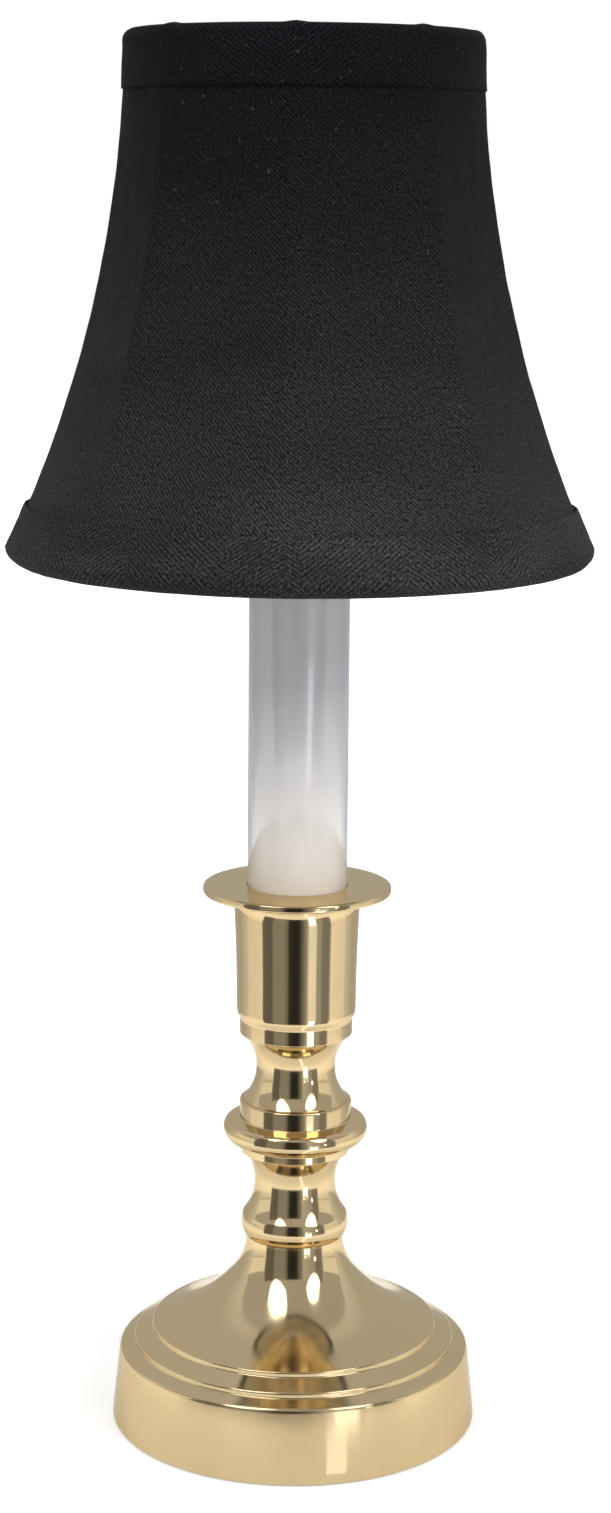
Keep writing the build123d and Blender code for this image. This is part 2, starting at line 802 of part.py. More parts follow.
def cloth_wrap(ring_radius, ring_height, inner, outer, side):
    """Half sleeve round a wire ring: on its top where side is 1, on its underside where it is -1."""
    with BuildPart() as sleeve:
        with BuildSketch(Plane.XZ):
            with Locations((ring_radius, ring_height)):
                Circle(outer)
                Circle(inner, mode=Mode.SUBTRACT)
            with Locations((ring_radius, ring_height - side * outer)):
                Rectangle(2 * outer + overrun, 2 * outer, mode=Mode.SUBTRACT)
        revolve(axis=Axis.Z)
    return sleeve.part


panel_levels = [bottom_ring_height + share * bell_drop for share in panel_level_shares]

# Wire rings at the top and bottom of the shade
with BuildPart() as top_ring:
    with BuildSketch(Plane.XZ):
        with Locations((top_ring_radius, top_ring_height)):
            Circle(shade_ring_wire)
    revolve(axis=Axis.Z)
finish(top_ring, "top_ring")

with BuildPart() as bottom_ring:
    with BuildSketch(Plane.XZ):
        with Locations((bottom_ring_radius, bottom_ring_height)):
            Circle(shade_ring_wire)
    revolve(axis=Axis.Z)
finish(bottom_ring, "bottom_ring")

# Eight bowed ribs, welded between the rings just inside the cloth
rib_bow_radius = bell_bow_radius + cloth_thickness + rib_wire + running_gap
rib_floor = bottom_ring_height + shade_ring_wire / 2
rib_top = top_ring_height - shade_ring_wire / 2
with BuildPart() as shade_ribs:
    for index in range(rib_count):
        direction = Vector(1, 0, 0).rotate(Axis.Z, rib_angle(index))
        rib_plane = Plane(origin=(0, 0, 0), x_dir=direction, z_dir=direction.cross(Vector(0, 0, 1)))
        with BuildLine(rib_plane) as rib_line:
            rib_heights = (rib_floor, (rib_floor + rib_top) / 2, rib_top)
            ThreePointArc(
                *[
                    (bow_axis_radius - sqrt(rib_bow_radius**2 - (height - bow_axis_height) ** 2), height)
                    for height in rib_heights
                ]
            )
        with BuildSketch(rib_line.line ^ 0):
            Circle(rib_wire)
        sweep(path=rib_line.line)
    add(top_ring.part, mode=Mode.SUBTRACT)
    add(bottom_ring.part, mode=Mode.SUBTRACT)
finish(shade_ribs, "shade_ribs")

# Cross wire: two arms slope down from the top ring to a straight middle, on which the clip tilts
cross_wire_end = top_ring_radius - shade_ring_wire / 2
with BuildPart() as cross_bar:
    with BuildLine(Plane.XZ) as cross_line:
        FilletPolyline(
            (-cross_wire_end, top_ring_height),
            (-cross_wire_flat, cross_wire_height),
            (cross_wire_flat, cross_wire_height),
            (cross_wire_end, top_ring_height),
            radius=cross_wire_bend,
        )
    with BuildSketch(cross_line.line ^ 0):
        Circle(cross_wire)
    sweep(path=cross_line.line)
    add(top_ring.part, mode=Mode.SUBTRACT)
finish(cross_bar, "cross_bar")

# Cloth stretched over the ribs and turned round both rings, slit where the cross wire passes
with BuildPart() as shade_cover:
    add(panel_body(panel_levels, 0))
    add(panel_body(panel_levels, cloth_thickness), mode=Mode.SUBTRACT)
    add(cloth_wrap(top_ring_radius, top_ring_height, top_wrap - cloth_thickness, top_wrap, 1))
    add(cloth_wrap(bottom_ring_radius, bottom_ring_height, bottom_wrap - cloth_thickness, bottom_wrap, -1))
    add(cross_bar.part, mode=Mode.SUBTRACT)
finish(shade_cover, "shade_cover")

# Lining, hung inside the ribs from ring to ring
liner_inset = 2 * top_wrap + trim_gap + trim_thickness + liner_gap
with BuildPart() as shade_liner:
    add(panel_body(panel_levels, liner_inset))
    add(panel_body(panel_levels, liner_inset + liner_thickness), mode=Mode.SUBTRACT)
    add(cross_bar.part, mode=Mode.SUBTRACT)
finish(shade_liner, "shade_liner")

# Woven trim bands round the top and the bottom; the lower one is folded double and stands further out
trim_outside = trim_gap + trim_thickness
hem_outside = hem_gap + hem_thickness
top_trim_floor = top_ring_height - top_trim_height
top_trim_levels = [top_trim_floor, top_ring_height - top_trim_height / 2, top_ring_height]
with BuildPart() as top_band:
    add(panel_body(top_trim_levels, -trim_outside))
    add(panel_body(top_trim_levels, -trim_gap), mode=Mode.SUBTRACT)
    add(cloth_wrap(top_ring_radius, top_ring_height, top_wrap + trim_gap, top_wrap + trim_outside, 1))
    add(cross_bar.part, mode=Mode.SUBTRACT)
finish(top_band, "top_band")

bottom_trim_top = bottom_ring_height + bottom_trim_height
bottom_trim_levels = [bottom_ring_height, bottom_ring_height + bottom_trim_height / 2, bottom_trim_top]
with BuildPart() as bottom_band:
    add(panel_body(bottom_trim_levels, -hem_outside))
    add(panel_body(bottom_trim_levels, -hem_gap), mode=Mode.SUBTRACT)
    hem_reach = bottom_wrap + hem_outside
    add(cloth_wrap(bottom_ring_radius, bottom_ring_height, bottom_wrap + hem_gap, hem_reach, -1))
finish(bottom_band, "bottom_band")

# Clip: one spring wire bent into two long loops that grip the bulb, joined by two bridges over its tip
bridge_height = cross_wire_height - clip_bridge_drop
clip_floor = cap_top + bulb_belly_rise + clip_above_belly
clip_reach = bulb_radius + clip_beyond_belly
clip_round = clip_half_width - match_gap
with BuildPart() as clip_loops:
    with BuildLine() as clip_line:
        FilletPolyline(
            (-clip_half_width, saddle_wall / 2, bridge_height),
            (-clip_half_width, clip_bridge_half, bridge_height),
            (-clip_half_width, clip_reach, clip_floor),
            (clip_half_width, clip_reach, clip_floor),
            (clip_half_width, clip_bridge_half, bridge_height),
            (clip_half_width, -clip_bridge_half, bridge_height),
            (clip_half_width, -clip_reach, clip_floor),
            (-clip_half_width, -clip_reach, clip_floor),
            (-clip_half_width, -clip_bridge_half, bridge_height),
            (-clip_half_width, -saddle_wall / 2, bridge_height),
            radius=[
                clip_corner_round,
                clip_round,
                clip_round,
                clip_corner_round,
                clip_corner_round,
                clip_round,
                clip_round,
                clip_corner_round,
            ],
        )
    with BuildSketch(clip_line.line ^ 0):
        Circle(clip_wire)
    sweep(path=clip_line.line)
finish(clip_loops, "clip_loops")

# Saddle: a curled eye that turns on the cross wire, with a block crimped on the clip's bridges
eye_radius = cross_wire + running_gap
block_floor = bridge_height - clip_wire - saddle_wall
with BuildPart() as clip_saddle:
    with BuildSketch(Plane.YZ.offset(-saddle_length / 2)):
        with Locations((0, cross_wire_height)):
            Circle(eye_radius + saddle_wall)
        with Locations((0, (block_floor + cross_wire_height) / 2)):
            Rectangle(saddle_block_width, cross_wire_height - block_floor)
        with Locations((0, cross_wire_height)):
            Circle(eye_radius, mode=Mode.SUBTRACT)
    extrude(amount=saddle_length)
    for side in (-1, 1):
        with BuildSketch(Plane.XZ.offset(-saddle_block_width)):
            with Locations((side * clip_half_width, bridge_height)):
                Circle(clip_wire)
        extrude(amount=2 * saddle_block_width, mode=Mode.SUBTRACT)
finish(clip_saddle, "clip_saddle")
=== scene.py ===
"""Looks of the candle lamp with shade: turned brass, glossy sleeve, bulb and cloth bell shade."""

import json
import logging
import math
from dataclasses import dataclass, field
from enum import Enum
from typing import Callable, Optional, Sequence, Union

import bpy
from mathutils import Euler, Matrix, Vector, noise


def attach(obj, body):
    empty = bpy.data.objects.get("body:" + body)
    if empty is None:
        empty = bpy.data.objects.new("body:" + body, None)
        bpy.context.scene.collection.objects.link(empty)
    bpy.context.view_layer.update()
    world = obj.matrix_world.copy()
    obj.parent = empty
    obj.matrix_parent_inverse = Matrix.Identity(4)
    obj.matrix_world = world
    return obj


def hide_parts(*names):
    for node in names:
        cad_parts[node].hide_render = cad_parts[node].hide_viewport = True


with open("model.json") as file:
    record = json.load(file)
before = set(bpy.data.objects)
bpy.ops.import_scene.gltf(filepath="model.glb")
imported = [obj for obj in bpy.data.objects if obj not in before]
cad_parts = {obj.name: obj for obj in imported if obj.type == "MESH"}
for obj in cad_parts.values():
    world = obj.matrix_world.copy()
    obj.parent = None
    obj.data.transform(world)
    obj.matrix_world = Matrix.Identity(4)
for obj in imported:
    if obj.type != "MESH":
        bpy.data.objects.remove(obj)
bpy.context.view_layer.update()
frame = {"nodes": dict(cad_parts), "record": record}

MM = 0.001
TAU = 2 * math.pi
LOG = logging.getLogger("lamp")

Color = tuple[float, float, float]
Point = tuple[float, float]
Row = tuple[float, float, float]
Output = bpy.types.NodeSocket
Socket = Union[bpy.types.NodeSocket, float, int, tuple, bool]


# Node trees


class Graph:
    """A node tree with short calls to add and join its nodes."""

    def __init__(self, tree: bpy.types.NodeTree) -> None:
        """Keeps the tree.

        Args:
            tree: the shader or geometry tree to fill.
        """
        self.tree = tree

    def add(self, kind: str, inputs: Optional[dict] = None, **settings: object) -> bpy.types.Node:
        """Adds one node.

        Args:
            kind: the node's type name.
            inputs: values or sockets for its inputs, by name or by number.
            settings: properties of the node itself.

        Returns:
            The new node.
        """
        node = self.tree.nodes.new(kind)
        for name, value in settings.items():
            setattr(node, name, value)
        for key, value in (inputs or {}).items():
            self.put(node.inputs[key], value)
        return node

    def put(self, socket: bpy.types.NodeSocket, value: Socket) -> None:
        """Gives an input a value, or joins it to another node's output.

        Args:
            socket: the input.
            value: a plain value, or the output that feeds it.
        """
        if isinstance(value, bpy.types.NodeSocket):
            self.tree.links.new(value, socket)
        elif isinstance(value, tuple) and len(value) == 3 and socket.type == "RGBA":
            socket.default_value = (*value, 1.0)
        else:
            socket.default_value = value

    def math(self, operation: str, a: Socket, b: Socket = 0.0, c: Socket = 0.0) -> Output:
        """Adds a Math node and returns its result."""
        return self.add("ShaderNodeMath", {0: a, 1: b, 2: c}, operation=operation).outputs[0]

    def remap(self, value: Socket, given: Point, wanted: Point) -> Output:
        """Maps a range of values to another one, held to its ends."""
        ends = {"From Min": given[0], "From Max": given[1], "To Min": wanted[0], "To Max": wanted[1]}
        return self.add("ShaderNodeMapRange", {"Value": value, **ends}).outputs["Result"]

    def noise(self, vector: Socket, scale: float, detail: float = 4.0, roughness: float = 0.5) -> Output:
        """Adds a noise texture and returns its factor."""
        inputs = {"Vector": vector, "Scale": scale, "Detail": detail, "Roughness": roughness}
        return self.add("ShaderNodeTexNoise", inputs).outputs["Fac"]

    def mix(self, factor: Socket, a: Socket, b: Socket, blend: str = "MIX") -> Output:
        """Mixes two colours.

        Args:
            factor: the share of the second colour.
            a: the first colour.
            b: the second colour.
            blend: how they are mixed.

        Returns:
            The mixed colour.
        """
        node = self.add("ShaderNodeMix", {"Factor": factor}, data_type="RGBA", blend_type=blend)
        # The node's colours come after its numbers and vectors
        first, second = node.inputs[6:8]
        self.put(first, a)
        self.put(second, b)
        return node.outputs[2]

    def shade(self, color: Socket, level: Socket) -> Output:
        """Multiplies a colour by a number."""
        return self.mix(1.0, color, self.join(level, level, level), "MULTIPLY")

    def ramp(self, value: Socket, stops: Sequence[tuple[float, Color]], interpolation: str) -> Output:
        """Adds a colour ramp.

        Args:
            value: what runs along the ramp.
            stops: values and their colours, in rising order.
            interpolation: how it goes from one stop to the next.

        Returns:
            The ramp's colour.
        """
        first, last = stops[0][0], stops[-1][0]
        node = self.add("ShaderNodeValToRGB", {0: self.remap(value, (first, last), (0.0, 1.0))})
        node.color_ramp.interpolation = interpolation
        made = node.color_ramp.elements
        made.remove(made[1])
        for k, (at, color) in enumerate(stops):
            stop = made.new((at - first) / (last - first)) if k else made[0]
            stop.position = (at - first) / (last - first)
            stop.color = (*color, 1.0)
        return node.outputs[0]

    def levels(self, value: Socket, stops: Sequence[Point]) -> Output:
        """Adds a ramp of plain numbers, straight from one stop to the next."""
        return self.ramp(value, [(at, (level, level, level)) for at, level in stops], "LINEAR")

    def split(self, vector: Socket) -> tuple[Output, ...]:
        """Splits a vector into its three numbers."""
        return tuple(self.add("ShaderNodeSeparateXYZ", {0: vector}).outputs)

    def join(self, x: Socket, y: Socket, z: Socket) -> Output:
        """Joins three numbers into a vector."""
        return self.add("ShaderNodeCombineXYZ", {0: x, 1: y, 2: z}).outputs[0]


class Paint(Graph):
    """A material in the making: one Principled shader and what feeds it."""

    def __init__(self, name: str) -> None:
        """Starts a material.

        Args:
            name: the material's name.
        """
        self.material = bpy.data.materials.new(name)
        self.material.use_nodes = True
        super().__init__(self.material.node_tree)
        self.shader = self.tree.nodes["Principled BSDF"]
        self.place = self.add("ShaderNodeTexCoord").outputs["Object"]

    def set(self, **values: Socket) -> None:
        """Gives the shader's sockets values; an underscore in a name stands for a space."""
        for name, value in values.items():
            self.put(self.shader.inputs[name.replace("_", " ")], value)

    def bump(self, height: Socket, distance: float) -> None:
        """Adds surface relief on top of what is there already.

        Args:
            height: the relief, from 0 to 1.
            distance: what a height of 1 stands for, in metres.
        """
        inputs = {"Height": height, "Distance": distance, "Strength": 1.0}
        before = self.shader.inputs["Normal"]
        if before.is_linked:
            inputs["Normal"] = before.links[0].from_socket
        self.put(self.shader.inputs["Normal"], self.add("ShaderNodeBump", inputs).outputs["Normal"])

    def around(self) -> tuple[Output, Output]:
        """Finds where a point of the lamp lies.

        Returns:
            Its distance from the lamp's axis, and its height.
        """
        x, y, z = self.split(self.place)
        squares = self.math("ADD", self.math("MULTIPLY", x, x), self.math("MULTIPLY", y, y))
        return self.math("SQRT", squares), z


# Finishes


class Grain(Enum):
    """How a metal surface was worked."""

    TURNED = "turned"
    DRAWN = "drawn"
    CAST = "cast"


class Weave(Enum):
    """How a cloth is woven."""

    TWILL = "twill"
    HERRINGBONE = "herringbone"
    SATEEN = "sateen"


@dataclass(frozen=True)
class Metal:
    """A bare or plated metal. Its zones are heights on the lamp and the roughness there."""

    name: str
    color: Color
    roughness: float
    grain: Grain = Grain.TURNED
    relief: float = 1.0
    edge: Color = (1.0, 1.0, 1.0)
    zones: tuple[Point, ...] = ()
    tarnish: float = 0.9
    ring_depth: float = 0.000002
    smear_depth: float = 0.00006
    patch_depth: float = 0.00001
    drawn_depth: float = 0.00001
    cast_depth: float = 0.0005

    def material(self) -> bpy.types.Material:
        """Builds the material.

        Returns:
            The new material.
        """
        paint = Paint(self.name)
        radius, height = paint.around()
        patches = paint.noise(paint.place, scale=60.0, detail=3.0)
        x, y, z = paint.split(paint.place)
        flat_place = paint.join(x, y, paint.math("MULTIPLY", z, 0.4))
        smears = paint.noise(flat_place, scale=16.0, detail=5.0, roughness=0.65)
        dull = tuple(c * self.tarnish for c in self.color)
        tone = paint.mix(paint.remap(smears, (0.35, 0.7), (0.0, 1.0)), self.color, dull)
        paint.set(Base_Color=tone, Metallic=1.0, Specular_Tint=self.edge)
        rough = paint.levels(height, self.zones) if self.zones else self.roughness
        paint.set(Roughness=paint.math("MULTIPLY", rough, paint.remap(patches, (0.3, 0.75), (0.82, 1.25))))
        if self.grain is Grain.TURNED:
            paint.set(Tangent=paint.join(paint.math("MULTIPLY", y, -1.0), x, 0.0))
            paint.set(Anisotropic=0.85, Anisotropic_Rotation=0.25)
            rings = paint.noise(paint.join(radius, 0.0, height), scale=1800.0, detail=2.0)
            paint.bump(rings, self.ring_depth * self.relief)
            paint.bump(smears, self.smear_depth * self.relief)
            paint.bump(patches, self.patch_depth * self.relief)
        elif self.grain is Grain.DRAWN:
            lines = paint.noise(paint.place, scale=900.0, detail=3.0)
            paint.bump(lines, self.drawn_depth * self.relief)
        else:
            sand = paint.noise(paint.place, scale=420.0, detail=8.0, roughness=0.65)
            paint.bump(sand, self.cast_depth * self.relief)
        return paint.material


@dataclass(frozen=True)
class Plastic:
    """A moulded plastic, phenolic, enamel or rubber.

    Its colour can turn into a darker upper one over a span of heights, which is painted shadow, and it can
    glow with painted light, standing in for the light that bright metal under it throws up, which fades out
    over a reach of heights. Heights are in metres.
    """

    name: str
    color: Color
    roughness: float
    coat: float = 0.0
    speckle: float = 0.06
    relief: float = 0.00002
    glow: float = 0.0
    upper: Optional[Color] = None
    span: Point = (0.12, 0.2)
    lift: Optional[Color] = None
    reach: Point = (0.12, 0.15)
    light_depth: Color = (0.004, 0.0036, 0.003)

    def material(self) -> bpy.types.Material:
        """Builds the material.

        Returns:
            The new material.
        """
        paint = Paint(self.name)
        cloud = paint.noise(paint.place, scale=35.0)
        fine = paint.noise(paint.place, scale=700.0, detail=3.0)
        tone: Socket = self.color
        # Painted shadow: the colour turns into the darker upper one over the span of heights
        if self.upper:
            tone = paint.mix(paint.remap(paint.around()[1], self.span, (0.0, 1.0)), self.color, self.upper)
        spots = paint.remap(cloud, (0.3, 0.7), (1.0 - self.speckle, 1.0))
        paint.set(Base_Color=paint.shade(tone, spots))
        paint.set(Roughness=paint.remap(fine, (0.3, 0.7), (self.roughness * 0.9, self.roughness * 1.15)))
        paint.set(Coat_Weight=self.coat, Coat_Roughness=0.06, Subsurface_Weight=self.glow)
        # Painted light: an emitted glow near the foot that fades out upwards, in place of light thrown up by
        # bright metal
        if self.lift:
            fade = paint.remap(paint.around()[1], self.reach, (1.0, 0.0))
            paint.set(Emission_Color=paint.mix(fade, (0.0, 0.0, 0.0), self.lift), Emission_Strength=1.0)
        if self.glow:
            paint.set(Subsurface_Radius=self.light_depth, Subsurface_Scale=1.0)
        paint.bump(cloud, self.relief * 6)
        paint.bump(fine, self.relief)
        return paint.material


@dataclass(frozen=True)
class Glass:
    """Clear glass, a little darker where it is seen at a slant."""

    name: str
    color: Color
    rim: Color
    wave_depth: float = 0.00008

    def material(self) -> bpy.types.Material:
        """Builds the material.

        Returns:
            The new material.
        """
        paint = Paint(self.name)
        waves = paint.noise(paint.place, scale=45.0, detail=2.0)
        slant = paint.add("ShaderNodeLayerWeight", {"Blend": 0.35}).outputs["Facing"]
        paint.set(Base_Color=paint.mix(slant, self.color, self.rim), Roughness=0.0)
        paint.set(Transmission_Weight=1.0, IOR=1.45)
        paint.bump(waves, self.wave_depth)
        return paint.material


@dataclass(frozen=True)
class PaintedLightAndShade:
    """Painted light and shade that make a cloth paler at its lower end and darker at its top.

    The span is from the lower to the upper height, in metres, and the colours are what the cloth's own
    colour is multiplied by there.
    """

    span: Point = (0.2, 0.31)
    lower: Color = (2.35, 2.35, 2.1)
    upper: Color = (0.35, 0.35, 0.39)
    fall: float = 1.6


@dataclass(frozen=True)
class Cloth:
    """A woven cloth. Its UV map is in metres: across the panel, then along it."""

    name: str
    color: Color
    weave: Weave
    pitch: float
    sheen: float = 0.3
    sheen_tint: Color = (1.0, 1.0, 1.0)
    contrast: float = 0.5
    patches: float = 0.15
    painted_light_and_shade: Optional[PaintedLightAndShade] = None
    column: float = 0.021
    wander: float = 3.6
    yarn_pitch: float = 0.62
    rib_share: float = 0.75
    rib_depth: float = 0.16
    fuzz_depth: float = 0.00005
    lint: float = 6.0

    def wave(self, paint: Paint, phase: Socket) -> Output:
        """A sine between 0 and 1."""
        return paint.math("MULTIPLY_ADD", paint.math("SINE", phase), 0.5, 0.5)

    def threads(self, paint: Paint, uv: Output) -> Output:
        """Heights of the woven threads.

        Args:
            paint: the material in the making.
            uv: the place on the cloth.

        Returns:
            The height, from 0 to 1.
        """
        across, along, _ = paint.split(uv)
        if self.weave is Weave.HERRINGBONE:
            turned = paint.math("PINGPONG", across, self.column)
            slant = paint.math("MULTIPLY_ADD", turned, 0.75, along)
        elif self.weave is Weave.TWILL:
            slant = paint.math("ADD", across, along)
        else:
            slant = along
        wobble = paint.math("MULTIPLY", paint.noise(uv, scale=800.0, detail=2.0), self.wander)
        rib = self.wave(paint, paint.math("MULTIPLY_ADD", slant, TAU / self.pitch, wobble))
        yarn = self.wave(paint, paint.math("MULTIPLY", across, TAU / (self.pitch * self.yarn_pitch)))
        rest = paint.math("MULTIPLY", yarn, 1.0 - self.rib_share)
        return paint.math("MULTIPLY_ADD", rib, self.rib_share, rest)

    def material(self) -> bpy.types.Material:
        """Builds the material.

        Returns:
            The new material.
        """
        paint = Paint(self.name)
        uv = paint.add("ShaderNodeUVMap", uv_map="UVMap").outputs["UV"]
        weave = self.threads(paint, uv)
        x, y, z = paint.split(paint.place)
        flat_place = paint.join(x, y, paint.math("MULTIPLY", z, 2.5))
        cloud = paint.noise(flat_place, scale=24.0, roughness=0.6)
        fuzz = paint.noise(uv, scale=1700.0, detail=1.5, roughness=0.7)
        lint = paint.noise(uv, scale=800.0, detail=1.0)
        lit = tuple(min(1.0, c * (1 + self.contrast)) for c in self.color)
        deep = tuple(c * (1 - self.contrast) for c in self.color)
        patches = paint.remap(cloud, (0.32, 0.68), (1 - self.patches, 1 + self.patches))
        level = paint.math("MULTIPLY", patches, paint.remap(fuzz, (0.34, 0.66), (0.25, 1.8)))
        thread = paint.shade(paint.mix(weave, deep, lit), level)
        # Painted light and shade: the cloth is made paler towards its hem and darker towards its top
        if self.painted_light_and_shade:
            share = paint.math("POWER", paint.remap(z, self.painted_light_and_shade.span, (1.0, 0.0)), self.painted_light_and_shade.fall)
            thread = paint.mix(1.0, thread, paint.mix(share, self.painted_light_and_shade.upper, self.painted_light_and_shade.lower), "MULTIPLY")
        spark = paint.remap(lint, (0.7, 0.8), (0.0, 0.5))
        thread = paint.mix(spark, thread, tuple(min(1.0, c * self.lint) for c in self.color))
        paint.set(Base_Color=thread, Roughness=0.85, Specular_IOR_Level=0.1)
        paint.set(Sheen_Weight=self.sheen, Sheen_Roughness=0.4, Sheen_Tint=self.sheen_tint)
        paint.bump(weave, self.pitch * self.rib_depth)
        paint.bump(fuzz, self.fuzz_depth)
        return paint.material


@dataclass(frozen=True)
class Felt:
    """Felted wool."""

    name: str
    color: Color
    fluff_depth: float = 0.0004

    def material(self) -> bpy.types.Material:
        """Builds the material.

        Returns:
            The new material.
        """
        paint = Paint(self.name)
        fluff = paint.noise(paint.place, scale=900.0, detail=8.0, roughness=0.75)
        clump = paint.noise(paint.place, scale=120.0, roughness=0.6)
        lit = tuple(c * 1.7 for c in self.color)
        deep = tuple(c * 0.5 for c in self.color)
        tone = paint.mix(paint.remap(fluff, (0.3, 0.7), (0.0, 1.0)), self.color, lit)
        tone = paint.mix(paint.remap(clump, (0.35, 0.65), (0.0, 0.35)), tone, deep)
        paint.set(Base_Color=tone, Roughness=0.95, Sheen_Weight=0.5, Sheen_Roughness=0.5)
        paint.bump(fluff, self.fluff_depth)
        return paint.material


BLUISH = (0.78, 0.8, 1.0)
FINISHES = {
    finish.name: finish
    for finish in (
        Metal(
            "polished_brass",
            (0.72, 0.56, 0.31),
            0.07,
            edge=(0.86, 0.82, 0.74),
            zones=((0.0, 0.15), (0.0168, 0.15), (0.0176, 0.13), (0.027, 0.12), (0.034, 0.07), (0.1, 0.07)),
        ),
        Metal("plain_brass", (0.68, 0.5, 0.24), 0.25),
        Metal("spring_brass", (0.66, 0.49, 0.24), 0.22, Grain.DRAWN),
        Metal("zinc_steel", (0.6, 0.61, 0.6), 0.32),
        Metal("grey_iron", (0.1, 0.1, 0.105), 0.6, Grain.CAST),
        Metal("solder", (0.6, 0.6, 0.62), 0.35, Grain.DRAWN, 3.0),
        Metal("nickel", (0.7, 0.69, 0.66), 0.14),
        Metal("tungsten", (0.25, 0.25, 0.27), 0.4, Grain.DRAWN),
        Plastic("black_nylon", (0.018, 0.018, 0.018), 0.45, relief=0.00004),
        Plastic("clear_nylon", (0.62, 0.62, 0.56), 0.4, glow=0.3),
        Plastic("black_phenolic", (0.02, 0.017, 0.014), 0.28, coat=0.3),
        Plastic("black_wire", (0.016, 0.016, 0.016), 0.35),
        Plastic("white_wire", (0.72, 0.72, 0.7), 0.35),
        Plastic(
            "white_gloss",
            (0.95, 0.925, 0.895),
            0.16,
            coat=0.7,
            speckle=0.015,
            relief=0.000002,
            glow=0.05,
            # Painted shadow: the sleeve is greyer and bluer towards its top, where the shade shadows it
            upper=(0.44, 0.44, 0.475),
            span=(0.126, 0.172),
            # Painted light: a warm glow near the sleeve's foot, above the brass flange
            lift=(0.185, 0.172, 0.155),
            reach=(0.124, 0.15),
        ),
        Plastic("frame_wire", (0.02, 0.02, 0.021), 0.32, coat=0.3),
        Plastic("black_glass", (0.008, 0.008, 0.009), 0.08, coat=0.5),
        Glass("clear_glass", (0.96, 0.97, 0.97), (0.4, 0.43, 0.44)),
        Cloth(
            "black_cloth",
            (0.0119, 0.0116, 0.0146),
            Weave.TWILL,
            0.00098,
            sheen=0.005,
            sheen_tint=BLUISH,
            contrast=0.62,
            # painted light and shade: paler at the hem, darker at the top
            painted_light_and_shade=PaintedLightAndShade(),
        ),
        Cloth(
            "black_trim",
            (0.0118, 0.0114, 0.014),
            Weave.HERRINGBONE,
            0.00105,
            sheen=0.005,
            sheen_tint=BLUISH,
            contrast=0.55,
            patches=0.3,
            # painted light and shade: paler at the hem, darker at the top
            painted_light_and_shade=PaintedLightAndShade(),
        ),
        Cloth("ivory_lining", (0.72, 0.66, 0.53), Weave.SATEEN, 0.0004, sheen=0.1, contrast=0.05),
        Felt("green_felt", (0.03, 0.09, 0.05)),
    )
}
MATERIALS: dict[str, bpy.types.Material] = {}


def finish_material(name: str) -> bpy.types.Material:
    """Material of a finish, built on first use.

    Args:
        name: the record's material slot.

    Returns:
        The material.
    """
    if name not in MATERIALS:
        MATERIALS[name] = FINISHES[name].material()
    return MATERIALS[name]


# Meshes


def link_object(name: str, mesh: bpy.types.Mesh) -> bpy.types.Object:
    """Adds a mesh to the scene as an object at the origin.

    Args:
        name: name of the object.
        mesh: its mesh.

    Returns:
        The object.
    """
    piece = bpy.data.objects.new(name, mesh)
    bpy.context.scene.collection.objects.link(piece)
    return piece


def apply_modifiers(piece: bpy.types.Object) -> bpy.types.Object:
    """Turns a piece with modifiers into a plain mesh.

    Args:
        piece: the object, with its modifiers set up.

    Returns:
        The same object, plain.
    """
    bpy.context.view_layer.update()
    depsgraph = bpy.context.evaluated_depsgraph_get()
    plain = bpy.data.meshes.new_from_object(piece.evaluated_get(depsgraph))
    piece.modifiers.clear()
    piece.data = plain
    return piece


def face_outwards(mesh: bpy.types.Mesh) -> None:
    """Turns the faces of a closed mesh round if they point inwards.

    Args:
        mesh: the mesh.
    """
    total = 0.0
    for polygon in mesh.polygons:
        points = [mesh.vertices[i].co for i in polygon.vertices]
        for a, b in zip(points[1:], points[2:]):
            total += points[0].dot(a.cross(b))
    if total < 0:
        mesh.flip_normals()


def apply_tree(piece: bpy.types.Object, tree: bpy.types.NodeTree, values: dict[str, object]) -> None:
    """Puts a geometry tree on a piece, fills in its named inputs and makes the result its mesh.

    Args:
        piece: the object that gets the tree.
        tree: the geometry tree.
        values: the inputs by name.
    """
    modifier = piece.modifiers.new(tree.name, "NODES")
    modifier.node_group = tree
    for item in tree.interface.items_tree:
        if item.item_type == "SOCKET" and item.in_out == "INPUT" and item.name in values:
            modifier[item.identifier] = values[item.name]
    apply_modifiers(piece)
    face_outwards(piece.data)


def dress(piece: bpy.types.Object, slot: str, body: str, *nodes: str) -> bpy.types.Object:
    """Gives a finished piece the material of its slot, and its body.

    Args:
        piece: the piece.
        slot: the record's material slot.
        body: the CAD body that it moves with.
        nodes: the CAD nodes that it stands for.

    Returns:
        The piece.
    """
    piece.data.materials.clear()
    piece.data.materials.append(finish_material(slot))
    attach(piece, body)
    if nodes:
        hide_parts(*nodes)
    LOG.info("%s: %d faces on %s", piece.name, len(piece.data.polygons), body)
    return piece


class GeometryTree(Graph):
    """A geometry tree with its named inputs."""

    def __init__(self, name: str, inputs: dict[str, str]) -> None:
        """Starts a tree.

        Args:
            name: the tree's name.
            inputs: the type of each input besides the geometry, by name.
        """
        super().__init__(bpy.data.node_groups.new(name, "GeometryNodeTree"))
        for label, kind in {"Geometry": "NodeSocketGeometry", **inputs}.items():
            self.tree.interface.new_socket(label, in_out="INPUT", socket_type=kind)
        self.tree.interface.new_socket("Geometry", in_out="OUTPUT", socket_type="NodeSocketGeometry")
        self.inputs = self.add("NodeGroupInput").outputs

    def close(self, geometry: Output) -> bpy.types.NodeTree:
        """Ends the tree with smooth faces, real instances and the finish.

        Args:
            geometry: what the tree has made.

        Returns:
            The tree.
        """
        smooth = self.add("GeometryNodeSetShadeSmooth", {"Geometry": geometry}).outputs[0]
        real = self.add("GeometryNodeRealizeInstances", {"Geometry": smooth}).outputs[0]
        painted = self.add("GeometryNodeSetMaterial", {"Geometry": real, "Material": self.inputs["Finish"]})
        self.add("NodeGroupOutput", {0: painted.outputs[0]})
        return self.tree


